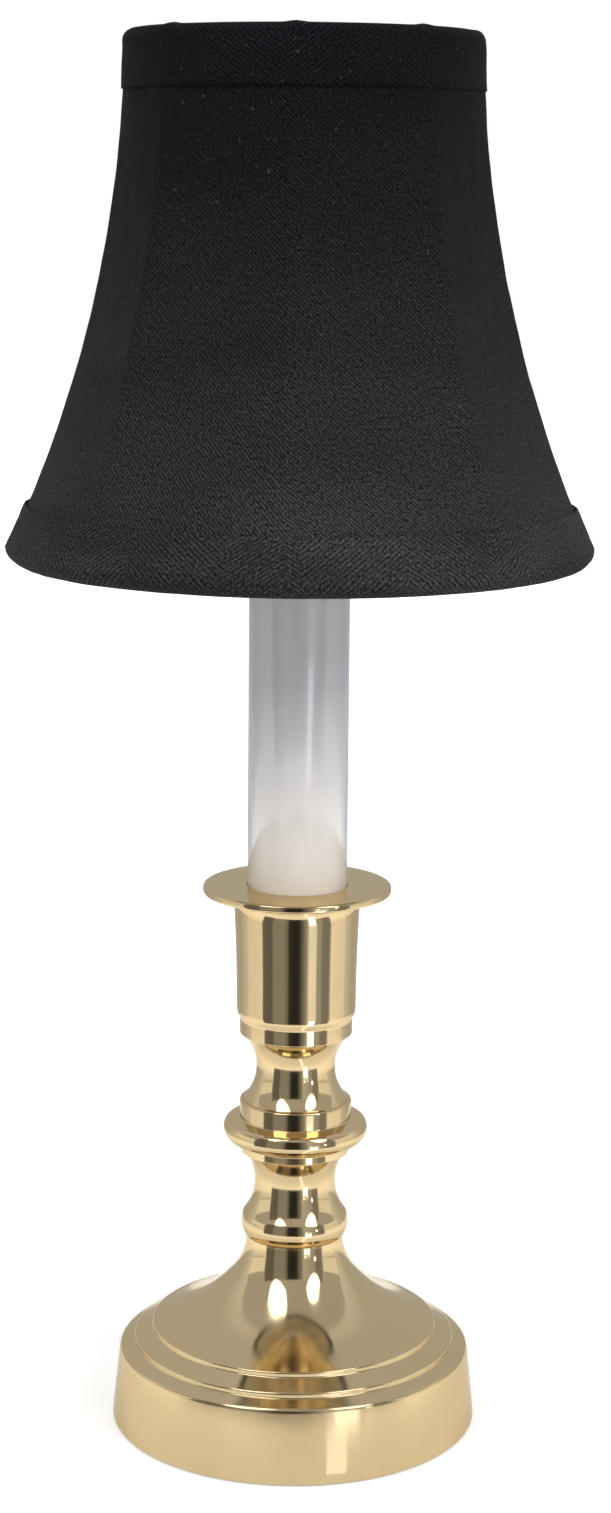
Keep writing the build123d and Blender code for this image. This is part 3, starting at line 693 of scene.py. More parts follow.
def lathe_tree() -> bpy.types.NodeTree:
    """Geometry tree that turns a flat outline round the Z axis.

    Returns:
        The tree.
    """
    graph = GeometryTree(
        "lathe", {"Segments": "NodeSocketInt", "Weld": "NodeSocketFloat", "Finish": "NodeSocketMaterial"}
    )
    outline, segments = graph.inputs["Geometry"], graph.inputs["Segments"]
    rows = graph.add("GeometryNodeAttributeDomainSize", {"Geometry": outline}, component="MESH").outputs[0]
    columns = graph.math("ADD", segments, 1.0)
    grid = graph.add("GeometryNodeMeshGrid", {"Vertices X": columns, "Vertices Y": rows}).outputs["Mesh"]
    index = graph.add("GeometryNodeInputIndex").outputs[0]
    column = graph.math("FLOOR", graph.math("DIVIDE", graph.math("ADD", index, 0.5), rows))
    row = graph.math("SUBTRACT", index, graph.math("MULTIPLY", column, rows))
    place = graph.add("GeometryNodeInputPosition").outputs[0]
    point = {"Geometry": outline, "Index": row}
    sample = graph.add("GeometryNodeSampleIndex", point, data_type="FLOAT_VECTOR", domain="POINT")
    graph.put(sample.inputs["Value"], place)
    angle = graph.math("DIVIDE", graph.math("MULTIPLY", column, TAU), segments)
    about = {"Vector": sample.outputs[0], "Angle": angle}
    turned = graph.add("ShaderNodeVectorRotate", about, rotation_type="Z_AXIS").outputs[0]
    placed = graph.add("GeometryNodeSetPosition", {"Geometry": grid, "Position": turned}).outputs[0]
    weld = graph.add("GeometryNodeMergeByDistance", {"Geometry": placed, "Distance": graph.inputs["Weld"]})
    return graph.close(weld.outputs[0])


def wire_tree() -> bpy.types.NodeTree:
    """Geometry tree that repeats a wire's path round the Z axis and gives it its thickness.

    Returns:
        The tree.
    """
    graph = GeometryTree(
        "wires",
        {
            "Copies": "NodeSocketInt",
            "Sides": "NodeSocketInt",
            "Radius": "NodeSocketFloat",
            "Start": "NodeSocketFloat",
            "Finish": "NodeSocketMaterial",
        },
    )
    curve = graph.add("GeometryNodeMeshToCurve", {0: graph.inputs["Geometry"]}).outputs[0]
    size = {"Resolution": graph.inputs["Sides"], "Radius": graph.inputs["Radius"]}
    ring = graph.add("GeometryNodeCurvePrimitiveCircle", size)
    swept = {0: curve, 1: ring.outputs[0], "Fill Caps": True}
    wire = graph.add("GeometryNodeCurveToMesh", swept).outputs[0]
    points = graph.add("GeometryNodePoints", {"Count": graph.inputs["Copies"]}).outputs[0]
    index = graph.add("GeometryNodeInputIndex").outputs[0]
    step = graph.math("DIVIDE", TAU, graph.inputs["Copies"])
    angle = graph.math("MULTIPLY_ADD", index, step, graph.inputs["Start"])
    turn = graph.join(0.0, 0.0, angle)
    copies = graph.add("GeometryNodeInstanceOnPoints", {"Points": points, "Instance": wire, "Rotation": turn})
    return graph.close(copies.outputs[0])


class Outline:
    """A lathe outline of radii and heights in millimetres, with its corners rounded."""

    corner_steps: int = 6
    weld: float = 0.002

    def __init__(self, *start: float) -> None:
        """Starts at a radius and height, if they are given.

        Args:
            start: the radius and the height.
        """
        self.points: list[Point] = [start] if start else []
        self.rounds: dict[int, float] = {}

    def to(self, radius: float, height: float, soft: float = 0.0) -> "Outline":
        """Goes straight to a point.

        Args:
            radius: the point's radius.
            height: its height.
            soft: the length over which its corner is rounded.

        Returns:
            The outline itself.
        """
        self.points.append((radius, height))
        if soft:
            self.rounds[len(self.points) - 1] = soft
        return self

    def arc(self, middle: Point, end: Point, soft: float = 0.0, steps: int = 40) -> "Outline":
        """Goes on along an arc through two points.

        Args:
            middle: a point on the way.
            end: the point where the arc ends.
            soft: the length over which the corner there is rounded.
            steps: points on the arc.

        Returns:
            The outline itself.
        """
        (ax, ay), (bx, by), (cx, cy) = self.points[-1], middle, end
        d = 2 * (ax * (by - cy) + bx * (cy - ay) + cx * (ay - by))
        a2, b2, c2 = ax * ax + ay * ay, bx * bx + by * by, cx * cx + cy * cy
        ux = (a2 * (by - cy) + b2 * (cy - ay) + c2 * (ay - by)) / d
        uy = (a2 * (cx - bx) + b2 * (ax - cx) + c2 * (bx - ax)) / d
        radius = math.hypot(ax - ux, ay - uy)
        start, half, stop = (math.atan2(y - uy, x - ux) for x, y in ((ax, ay), (bx, by), (cx, cy)))
        turn = (stop - start) % TAU
        if (half - start) % TAU > turn:
            turn -= TAU
        for i in range(1, steps + 1):
            angle = start + turn * i / steps
            self.points.append((ux + radius * math.cos(angle), uy + radius * math.sin(angle)))
        if soft:
            self.rounds[len(self.points) - 1] = soft
        return self

    def bend(self, direction: Point, end: Point, soft: float = 0.0, steps: int = 30) -> "Outline":
        """Goes on along an arc that starts in a direction.

        Args:
            direction: the direction in which the arc leaves.
            end: the point where it ends.
            soft: the length over which the corner there is rounded.
            steps: points on the arc.

        Returns:
            The outline itself.
        """
        x, y = self.points[-1]
        length = math.hypot(*direction)
        dx, dy = direction[0] / length, direction[1] / length
        ex, ey = end[0] - x, end[1] - y
        side = ex * -dy + ey * dx
        if abs(side) < 1e-9:
            return self.to(*end, soft)
        radius = (ex * ex + ey * ey) / (2 * side)
        cx, cy = x - dy * radius, y + dx * radius
        start = math.atan2(y - cy, x - cx)
        stop = math.atan2(end[1] - cy, end[0] - cx)
        half = (stop - start) % TAU if radius > 0 else -((start - stop) % TAU)
        middle = start + half / 2
        reach = abs(radius)
        return self.arc((cx + reach * math.cos(middle), cy + reach * math.sin(middle)), end, soft, steps)

    def heading(self) -> Point:
        """Direction in which the outline arrives at its last point."""
        (ax, ay), (bx, by) = self.points[-2:]
        return bx - ax, by - ay

    def walk(self, index: int, reach: float, way: int) -> tuple[Point, set[int]]:
        """Goes along the outline from one of its points, at most to the next rounded corner.

        Args:
            index: the point where it starts.
            reach: how far it goes.
            way: 1 to go on, -1 to go back.

        Returns:
            The place where it ends, and the points that it has passed.
        """
        passed: set[int] = set()
        at = index
        while True:
            following = (at + way) % len(self.points)
            a, b = self.points[at], self.points[following]
            step = math.dist(a, b)
            if reach <= step or (passed and following in self.rounds):
                share = min(1.0, reach / max(step, 1e-9))
                return (a[0] + (b[0] - a[0]) * share, a[1] + (b[1] - a[1]) * share), passed
            reach -= step
            at = following
            passed.add(at)

    def softened(self, closed: bool) -> list[Point]:
        """Works out the outline with each marked corner rounded.

        Args:
            closed: True if the last point joins the first.

        Returns:
            The points.
        """
        made: dict[int, list[Point]] = {}
        gone: set[int] = set()
        for index, soft in self.rounds.items():
            before, left = self.walk(index, soft, -1)
            after, right = self.walk(index, soft, 1)
            gone |= left | right
            corner = self.points[index]
            made[index] = []
            for i in range(self.corner_steps + 1):
                t = i / self.corner_steps
                shares = ((before, (1 - t) ** 2), (corner, 2 * t * (1 - t)), (after, t * t))
                made[index].append(tuple(sum(point[k] * share for point, share in shares) for k in (0, 1)))
        points: list[Point] = []
        for index, point in enumerate(self.points):
            if index in made:
                points += made[index]
            elif index not in gone:
                points.append(point)
        return points + points[:1] if closed else points

    def turned(
        self, name: str, slot: str, body: str, *nodes: str, closed: bool = True, segments: int = 256
    ) -> bpy.types.Object:
        """Turns the outline into a finished piece.

        Args:
            name: name of the piece.
            slot: the record's material slot.
            body: the CAD body that it moves with.
            nodes: the CAD nodes that it stands for.
            closed: True if the outline is a loop, False if it starts and ends on the axis.
            segments: faces round the axis.

        Returns:
            The piece.
        """
        points = self.softened(closed)
        mesh = bpy.data.meshes.new(name)
        edges = [(i, i + 1) for i in range(len(points) - 1)]
        mesh.from_pydata([(r * MM, 0.0, z * MM) for r, z in points], edges, [])
        piece = link_object(name, mesh)
        values = {"Segments": segments, "Weld": self.weld * MM, "Finish": finish_material(slot)}
        apply_tree(piece, TREES["lathe"], values)
        return dress(piece, slot, body, *nodes)


TREES = {"lathe": lathe_tree(), "wires": wire_tree()}


# The brass candlestick


@dataclass
class Candlestick:
    """The turned stack of foot, necks, knop and cup, with the felt under it.

    Sizes are radii and heights in millimetres. A pair is a radius and a height; the knop's pairs start at
    its floor, the cup's base pairs at its bottom, and its mouth pairs go down from its top.
    """

    hole: float = 5.1
    foot_rim: float = 0.4
    foot_radius: float = 41.65
    side_top: Point = (39.85, 17.1)
    step_one: Point = (36.5, 19.5)
    step_two: Point = (32.35, 22.6)
    step_rise: float = 1.1
    flare_way: Point = (0.643, -0.766)
    flare_end: Point = (14.225, 34.501)
    flare_middle: Point = (11.79, 38.71)
    flare_neck: float = 10.95
    foot_top: float = 43.5
    ceiling: Point = (33.0, 14.4)
    cavity_radius: float = 39.05
    recess_radius: float = 40.55
    felt_radius: float = 40.4
    felt_thickness: float = 1.2
    collar_foot: float = 11.35
    collar_belly: Point = (12.17, 46.4)
    collar_top: Point = (11.75, 48.7)
    lower_waist: Point = (9.2, 56.0)
    lower_lip: float = 11.5
    knop_floor: float = 63.3
    knop_base: Point = (12.3, 1.9)
    knop_under: Point = (15.0, 2.9)
    knop_edge: Point = (16.3, 5.2)
    knop_shoulder: Point = (15.5, 7.4)
    knop_band: Point = (12.62, 8.0)
    spool_floor: float = 75.5
    spool_lip: float = 11.95
    spool_waist: float = 8.88
    spool_rim: float = 12.4
    spool_rim_height: float = 0.4
    cup_bottom: float = 90.9
    cup_base: Point = (12.66, 3.6)
    cup_cove: Point = (13.4, 5.2)
    cup_side: Point = (13.55, 107.55)
    cup_floor: float = 97.7
    cup_bore: float = 11.28
    cup_mouth: Point = (13.98, 6.2)
    flange_root: Point = (15.4, 2.1)
    flange_edge: Point = (21.07, 1.75)
    cup_top: float = 125.2

    def foot(self) -> None:
        """Builds the tapered drum with two turned steps and a trumpet flare, hollow below."""
        step_one, step_two, rim = self.step_one, self.step_two, self.foot_rim
        outline = Outline(self.hole, self.ceiling[1]).to(self.hole, self.foot_top)
        outline.to(self.flare_neck, self.foot_top).arc(self.flare_middle, self.flare_end, steps=24)
        outline.bend(self.flare_way, step_two, soft=0.35, steps=44)
        outline.to(step_two[0], step_two[1] - self.step_rise, soft=0.25).to(*step_one, soft=0.35)
        outline.to(step_one[0], step_one[1] - self.step_rise, soft=0.25).to(*self.side_top, soft=0.8)
        outline.to(self.foot_radius, rim, soft=0.5).to(self.recess_radius, rim)
        outline.to(self.recess_radius, self.felt_thickness).to(self.cavity_radius, self.felt_thickness)
        outline.to(*self.ceiling, soft=1.0)
        outline.turned("brass_foot", "polished_brass", "stick", "foot", segments=320)

    def lower_neck(self) -> None:
        """Builds the barrel collar with the waisted neck above it."""
        outline = Outline(self.collar_foot, self.foot_top).arc(self.collar_belly, self.collar_top, soft=0.3)
        outline.arc(self.lower_waist, (self.lower_lip, self.knop_floor), soft=0.2, steps=48)
        outline.to(self.hole, self.knop_floor).to(self.hole, self.foot_top)
        outline.turned("brass_lower_neck", "polished_brass", "stick", "lower_neck")

    def knop(self) -> None:
        """Builds the thick disc between a stepped underside and a plain band."""
        pairs = (self.knop_base, self.knop_under, self.knop_edge, self.knop_shoulder, self.knop_band)
        base, under, edge, shoulder, band = [(radius, self.knop_floor + rise) for radius, rise in pairs]
        outline = Outline(self.hole, self.knop_floor).to(base[0], self.knop_floor, soft=0.2)
        outline.to(*base, soft=0.25).to(*under, soft=0.3).arc(edge, shoulder, soft=0.5).to(*band, soft=0.25)
        outline.to(band[0], self.spool_floor, soft=0.6).to(self.hole, self.spool_floor)
        outline.turned("brass_knop", "polished_brass", "stick", "knop")

    def upper_neck(self) -> None:
        """Builds the spool, waisted between two flared ends."""
        lip = self.cup_bottom - self.spool_rim_height
        waist = (self.spool_waist, (self.spool_floor + lip) / 2)
        outline = Outline(self.spool_lip, self.spool_floor)
        outline.arc(waist, (self.spool_lip, lip), soft=0.15, steps=56).to(self.spool_rim, self.cup_bottom)
        outline.to(self.hole, self.cup_bottom).to(self.hole, self.spool_floor)
        outline.turned("brass_upper_neck", "polished_brass", "stick", "upper_neck")

    def cup(self) -> None:
        """Builds the cup with its base ring, cove and broad drip flange."""
        base, cove = [(radius, self.cup_bottom + rise) for radius, rise in (self.cup_base, self.cup_cove)]
        pairs = (self.cup_mouth, self.flange_root, self.flange_edge)
        mouth, root, edge = [(radius, self.cup_top - drop) for radius, drop in pairs]
        outline = Outline(self.hole, self.cup_floor).to(self.hole, self.cup_bottom)
        outline.to(base[0], self.cup_bottom, soft=0.35).to(*base, soft=0.4).to(*cove, soft=0.9)
        outline.arc(self.cup_side, mouth, steps=40)
        outline.bend(outline.heading(), root, soft=0.4, steps=24)
        outline.to(*edge, soft=0.7).to(edge[0], self.cup_top, soft=0.7)
        outline.to(self.cup_bore, self.cup_top, soft=0.15)
        outline.to(self.cup_bore, self.cup_floor).to(self.hole, self.cup_floor)
        outline.turned("brass_cup", "polished_brass", "stick", "candle_cup")

    def felt(self) -> None:
        """Builds the felt disc let into the foot's rim."""
        radius, thickness = self.felt_radius, self.felt_thickness
        outline = Outline(0.0, 0.0).to(radius, 0.0, soft=0.4)
        outline.to(radius, thickness, soft=0.3).to(0.0, thickness)
        disc = outline.turned("foot_felt", "green_felt", "stick", "base_felt", closed=False, segments=128)

    def build(self) -> None:
        """Builds every piece of the stick."""
        for make in (self.foot, self.lower_neck, self.knop, self.upper_neck, self.cup, self.felt):
            make()


# The electric candle


@dataclass
class Candle:
    """The white sleeve and the glass of the bulb that it carries.

    Sizes are radii and heights in millimetres. A pair is a radius and a height above the bulb's cap, and a
    way is how far the outline goes on at such a point, out and up.
    """

    sleeve_radius: float = 11.13
    sleeve_wall: float = 0.8
    sleeve_floor: float = 97.7
    sleeve_top: float = 212.0
    glass_floor: float = 204.1
    glass_wall: float = 0.7
    cap_top: float = 207.1
    neck: Point = (5.4, 1.2)
    shoulder: Point = (10.0, 11.0)
    belly: Point = (16.0, 25.3)
    belly_way: Point = (0.6, 26.0)
    taper: Point = (12.5, 51.0)
    taper_way: Point = (-8.6, 24.6)
    nose: Point = (4.4, 72.0)
    nose_way: Point = (-7.4, 8.2)
    tip: float = 75.2
    tip_way: Point = (-4.2, 0.0)
    curve_steps: int = 32

    def sleeve(self) -> None:
        """Builds the plain glossy tube."""
        inner = self.sleeve_radius - self.sleeve_wall
        outline = Outline(self.sleeve_radius, self.sleeve_floor)
        outline.to(self.sleeve_radius, self.sleeve_top, soft=0.3).to(inner, self.sleeve_top, soft=0.2)
        outline.to(inner, self.sleeve_floor)
        outline.turned("white_sleeve", "white_gloss", "candle_sleeve", "candle_cover", segments=192)

    def glass_side(self, inset: float) -> list[Point]:
        """Works out the envelope's outline from its neck to its tip.

        Args:
            inset: how far the outline is moved in, by the wall's thickness or not at all.

        Returns:
            The points.
        """
        pairs = (self.neck, self.shoulder, self.belly, self.taper, self.nose)
        neck, shoulder, belly, taper, nose = [(radius - inset, self.cap_top + rise) for radius, rise in pairs]
        side = Outline(neck[0], self.glass_floor).to(*neck)
        side.bend((0.0, 1.0), shoulder, steps=24)
        side.bend(side.heading(), belly, steps=30)
        knots = [side.points[-1], taper, nose, (0.0, self.cap_top + self.tip - inset)]
        ways = [self.belly_way, self.taper_way, self.nose_way, self.tip_way]
        for (a, b), (s, t) in zip(zip(knots, knots[1:]), zip(ways, ways[1:])):
            for i in range(1, self.curve_steps + 1):
                u = i / self.curve_steps
                h = (2 * u**3 - 3 * u**2 + 1, u**3 - 2 * u**2 + u, 3 * u**2 - 2 * u**3, u**3 - u**2)
                ends = list(zip(a, s, b, t))
                side.points.append(tuple(sum(share * value for share, value in zip(h, end)) for end in ends))
        return side.points

    def envelope(self) -> None:
        """Builds the torpedo glass with a real wall."""
        outline = Outline()
        outline.points = self.glass_side(0.0) + self.glass_side(self.glass_wall)[::-1]
        outline.turned("bulb_envelope", "clear_glass", "bulb", "bulb_glass", segments=160)

    def build(self) -> None:
        """Builds the sleeve and the glass."""
        self.sleeve()
        self.envelope()


# The shade


@dataclass
class Bell:
    """Shape of the shade: eight panels between two rings, bowed inwards. Millimetres."""

    panels: int = 8
    lead_angle: float = -2.5
    top_radius: float = 35.9
    top_height: float = 308.1
    bottom_radius: float = 60.7
    bottom_height: float = 201.5
    bow_radius: float = 275.0
    top_wrap: float = 1.75
    bottom_wrap: float = 2.09
    flatness: float = 0.85
    fold: float = 0.02
    fold_samples: int = 5
    first_rib: float = field(init=False)
    drop: float = field(init=False)
    bow_x: float = field(init=False)
    bow_z: float = field(init=False)

    def __post_init__(self) -> None:
        """Works out the first rib's angle, the drop between the rings and the bow's centre."""
        self.first_rib = math.radians(self.lead_angle - 90)
        self.drop = self.top_height - self.bottom_height
        cloth_top = self.top_radius + self.top_wrap
        spread = self.bottom_radius + self.bottom_wrap - cloth_top
        lean = math.atan2(spread, self.drop)
        half = math.asin(math.hypot(self.drop, spread) / 2 / self.bow_radius)
        self.bow_x = cloth_top + self.bow_radius * math.cos(lean - half)
        self.bow_z = self.top_height + self.bow_radius * math.sin(lean - half)

    def rib_radius(self, height: float, inset: float = 0.0) -> float:
        """Radius of the cloth's outer face on a rib, or of what lies further in."""
        return self.bow_x - math.sqrt((self.bow_radius + inset) ** 2 - (height - self.bow_z) ** 2)

    def panel_radius(self, height: float, turn: float, inset: float) -> float:
        """Radius of the cloth on a panel.

        Args:
            height: the height.
            turn: the angle from the panel's middle.
            inset: how far in the cloth lies.

        Returns:
            The radius.
        """
        radius = self.rib_radius(height) - inset
        level = min(1.0, max(0.0, (height - self.bottom_height) / self.drop))
        half = math.pi / self.panels
        middle = radius * (1 - self.flatness * math.sin(math.pi * level) * (1 - math.cos(half)))
        if radius - middle < 1e-6:
            return radius
        centre = (radius**2 - middle**2) / (2 * (radius * math.cos(half) - middle))
        bow = middle - centre
        return centre * math.cos(turn) + math.sqrt(bow**2 - (centre * math.sin(turn)) ** 2)

    def radius(self, height: float, angle: float, inset: float) -> float:
        """Radius of the cloth anywhere, with its soft fold over each rib.

        Args:
            height: the height.
            angle: the angle round the axis.
            inset: how far in the cloth lies.

        Returns:
            The radius.
        """
        total = 0.0
        for i in range(self.fold_samples):
            turn = angle + self.fold * (i / (self.fold_samples - 1) - 0.5) * 2
            local = (turn - self.first_rib) % (TAU / self.panels) - math.pi / self.panels
            total += self.panel_radius(height, local, inset)
        return total / self.fold_samples


@dataclass
class Pulls:
    """Small pulls in a cloth, which fade out at its edges. Millimetres; low and high are ways along it."""

    seed: float
    size: float
    low: float
    high: float
    fade: float = 1.5
    coarse: Point = (9.0, 0.11)
    fine: Point = (26.0, 0.25)
    fine_share: float = 0.45

    def pattern(self, angle: float, along: float, scales: Point) -> float:
        """Works out smooth noise that closes round the axis.

        Args:
            angle: the angle round the axis.
            along: the way along the cloth.
            scales: how fast it changes round the axis and along the cloth.

        Returns:
            The noise, about between -1 and 1.
        """
        turns, way = scales
        spot = (math.cos(angle) * turns + self.seed, math.sin(angle) * turns, along * way)
        return noise.noise(Vector(spot))

    def push(self, angle: float, along: float) -> float:
        """Works out how far a place on the cloth is pushed out.

        Args:
            angle: the angle round the axis.
            along: the way along the cloth.

        Returns:
            The push.
        """
        inside = 1.0
        for past in (along - self.low, self.high - along):
            inside *= min(1.0, max(0.0, past) / self.fade)
        coarse = self.pattern(angle, along, self.coarse)
        return self.size * inside * (coarse + self.fine_share * self.pattern(angle, along, self.fine))


@dataclass
class ShadeCloth:
    """The sewn cloths of the shade. Millimetres, but the weave's shift from panel to panel is in metres."""

    bell: Bell = field(default_factory=Bell)
    cloth: float = 0.4
    trim_gap: float = 0.1
    trim: float = 0.35
    hem_gap: float = 0.3
    hem: float = 0.5
    top_trim: float = 9.8
    bottom_trim: float = 8.5
    lining_gap: float = 0.65
    rib_lift: float = 0.32
    rib_spread: float = 0.05
    weave_shift: float = 0.0613
    per_panel: int = 36
    wrap_rows: int = 10
    band_rows: int = 18
    cover_rows: int = 84
    lining_rows: int = 48

    def strip(self, name: str, rows: Sequence[Row], thickness: float, pulls: Pulls) -> bpy.types.Object:
        """Makes one closed ring of cloth.

        Args:
            name: name of the piece.
            rows: for each row its height, how far in it lies from the bell, and its way along the cloth.
            thickness: the cloth's thickness.
            pulls: the small pulls in it.

        Returns:
            The piece, with its thickness, not yet dressed.
        """
        bell = self.bell
        columns = bell.panels * self.per_panel
        vertices, faces, uvs = [], [], []
        for height, inset, along in rows:
            for i in range(columns):
                angle = TAU * i / columns + bell.first_rib
                spot = (bell.radius(height, angle, inset) + pulls.push(angle, along)) * MM
                rise = self.rib_rise(angle, height)
                vertices.append((spot * math.cos(angle), spot * math.sin(angle), (height + rise) * MM))
        for row in range(len(rows) - 1):
            upper, lower = row * columns, (row + 1) * columns
            for i in range(columns):
                j = (i + 1) % columns
                faces.append((upper + i, upper + j, lower + j, lower + i))
                panel, place = divmod(i, self.per_panel)
                for step, line in ((0, row), (1, row), (1, row + 1), (0, row + 1)):
                    turn = ((place + step) / self.per_panel - 0.5) * TAU / bell.panels
                    across = (bell.rib_radius(rows[line][0]) * turn) * MM + panel * self.weave_shift
                    uvs.append((across, rows[line][2] * MM))
        mesh = bpy.data.meshes.new(name)
        mesh.from_pydata(vertices, [], faces)
        layer = mesh.uv_layers.new(name="UVMap")
        for loop, uv in zip(layer.data, uvs):
            loop.uv = uv
        mesh.polygons.foreach_set("use_smooth", [True] * len(mesh.polygons))
        piece = link_object(name, mesh)
        wall = piece.modifiers.new("wall", "SOLIDIFY")
        wall.thickness = thickness * MM
        wall.offset = -1.0
        return apply_modifiers(piece)

    def rib_rise(self, angle: float, height: float) -> float:
        """Works out how far the top edge stands up over each rib.

        Args:
            angle: the angle round the axis.
            height: the height without it.

        Returns:
            The rise.
        """
        bell = self.bell
        if height < bell.top_height:
            return 0.0
        step = TAU / bell.panels
        away = (angle - bell.first_rib + step / 2) % step - step / 2
        share = min(1.0, (height - bell.top_height) / bell.top_wrap)
        return self.rib_lift * share * math.exp(-((away / self.rib_spread) ** 2))

    def wrap(self, radius: float, height: float, outer: float, side: int) -> list[Row]:
        """Makes the rows of cloth that go round one ring, from outside to inside.

        Args:
            radius: the ring's radius.
            height: the ring's height.
            outer: distance of the cloth's outer face from the ring's middle.
            side: 1 if it goes over the ring, -1 if it goes under.

        Returns:
            For each row its height, how far in it lies from the bell, and its way along from the ring.
        """
        rows = []
        for i in range(1, self.wrap_rows + 1):
            turn = math.pi * i / self.wrap_rows
            level = height + side * outer * math.sin(turn)
            inset = self.bell.rib_radius(level) - (radius + outer * math.cos(turn))
            rows.append((level, inset, side * outer * turn))
        return rows

    def rows(
        self, low: float, high: float, count: int, proud: float, top: float = 0.0, bottom: float = 0.0
    ) -> list[Row]:
        """Makes the rows of a cloth on the bell, with its turns round the rings.

        Args:
            low: lowest height on the bell.
            high: highest height on the bell.
            count: rows on the bell.
            proud: how far the outer face stands outside the cover's.
            top: distance from the top ring's middle where the cloth goes round it, or 0.
            bottom: the same for the bottom ring.

        Returns:
            The rows, from inside the top to inside the bottom.
        """
        bell = self.bell
        body: list[Row] = []
        along = 0.0
        for i in range(count):
            height = high - (high - low) * i / (count - 1)
            if body:
                last = body[-1][0]
                along -= math.hypot(last - height, bell.rib_radius(last) - bell.rib_radius(height))
            body.append((height, -proud, along))
        over = self.wrap(bell.top_radius, bell.top_height, top, 1) if top else []
        under = self.wrap(bell.bottom_radius, bell.bottom_height, bottom, -1) if bottom else []
        return over[::-1] + body + [(height, inset, along + way) for height, inset, way in under]

    def declare(self, rows: Sequence[Row]) -> None:
        """Works out the area of cloth that a piece was cut from and its largest girth, and keeps neither.

        Args:
            rows: the rows that it was made of.
        """
        bell = self.bell
        cut = 0.0
        for (z0, i0, s0), (z1, i1, s1) in zip(rows, rows[1:]):
            cut += math.pi * (bell.rib_radius(z0) - i0 + bell.rib_radius(z1) - i1) * abs(s1 - s0)
        girth = max(TAU * (bell.rib_radius(height) - inset) for height, inset, _ in rows) * MM

    def cover(self) -> None:
        """Builds the black twill over the ribs, turned round both rings."""
        bell = self.bell
        low, high = bell.bottom_height, bell.top_height
        rows = self.rows(low, high, self.cover_rows, 0.0, top=bell.top_wrap, bottom=bell.bottom_wrap)
        pulls = Pulls(seed=3.1, size=0.16, low=rows[-1][2] + 4, high=-2.0)
        piece = self.strip("cloth_cover", rows, self.cloth, pulls)
        dress(piece, "black_cloth", "shade", "shade_cover")
        self.declare(rows)

    def lining(self) -> None:
        """Builds the ivory lining inside the ribs."""
        bell = self.bell
        inset = 2 * bell.top_wrap + self.lining_gap
        rows = self.rows(bell.bottom_height, bell.top_height, self.lining_rows, -inset)
        pulls = Pulls(seed=8.7, size=0.14, low=-118.0, high=0.0)
        piece = self.strip("cloth_lining", rows, self.cloth, pulls)
        dress(piece, "ivory_lining", "shade", "shade_liner")
        self.declare(rows)

    def top_band(self) -> None:
        """Builds the trim band round the top."""
        bell, proud = self.bell, self.trim_gap + self.trim
        lower = bell.top_height - self.top_trim
        rows = self.rows(lower, bell.top_height, self.band_rows, proud, top=bell.top_wrap + proud)
        pulls = Pulls(seed=1.3, size=0.18, low=-self.top_trim, high=0.0)
        piece = self.strip("trim_top", rows, self.trim, pulls)
        dress(piece, "black_trim", "shade", "top_band")
        self.declare(rows)

    def bottom_band(self) -> None:
        """Builds the trim band round the bottom."""
        bell, proud = self.bell, self.hem_gap + self.hem
        upper = bell.bottom_height + self.bottom_trim
        rows = self.rows(bell.bottom_height, upper, self.band_rows, proud, bottom=bell.bottom_wrap + proud)
        pulls = Pulls(seed=5.9, size=0.35, low=rows[-1][2], high=0.0)
        piece = self.strip("trim_bottom", rows, self.hem, pulls)
        dress(piece, "black_trim", "shade", "bottom_band")
        self.declare(rows)

    def build(self) -> None:
        """Builds the four cloths."""
        for make in (self.cover, self.lining, self.top_band, self.bottom_band):
            make()


@dataclass
class ShadeFrame:
    """The ribs inside the cloth, in millimetres; the frame's other wires and its clip are CAD nodes."""

    bell: Bell = field(default_factory=Bell)
    wire: float = 1.1
    wire_sides: int = 16
    inset: float = 1.55
    seat: float = 0.65
    rib_steps: int = 40

    def build(self) -> None:
        """Builds the eight bowed ribs between the rings."""
        bell = self.bell
        low, high = bell.bottom_height + self.seat, bell.top_height - self.seat
        path = []
        for i in range(self.rib_steps + 1):
            height = low + (high - low) * i / self.rib_steps
            path.append((bell.rib_radius(height, self.inset) * MM, 0.0, height * MM))
        mesh = bpy.data.meshes.new("enamelled_ribs")
        mesh.from_pydata(path, [(i, i + 1) for i in range(self.rib_steps)], [])
        piece = link_object("enamelled_ribs", mesh)
        values = {
            "Copies": bell.panels,
            "Sides": self.wire_sides,
            "Radius": self.wire * MM,
            "Start": bell.first_rib,
            "Finish": finish_material("frame_wire"),
        }
        apply_tree(piece, TREES["wires"], values)
        dress(piece, "frame_wire", "shade", "shade_ribs")


# Studio


@dataclass(frozen=True)
class SoftBox:
    """A soft light that points at the lamp's middle: degrees, metres and watts."""

    name: str
    azimuth: float
    elevation: float
    distance: float
    size: Point
    power: float
    color: Color


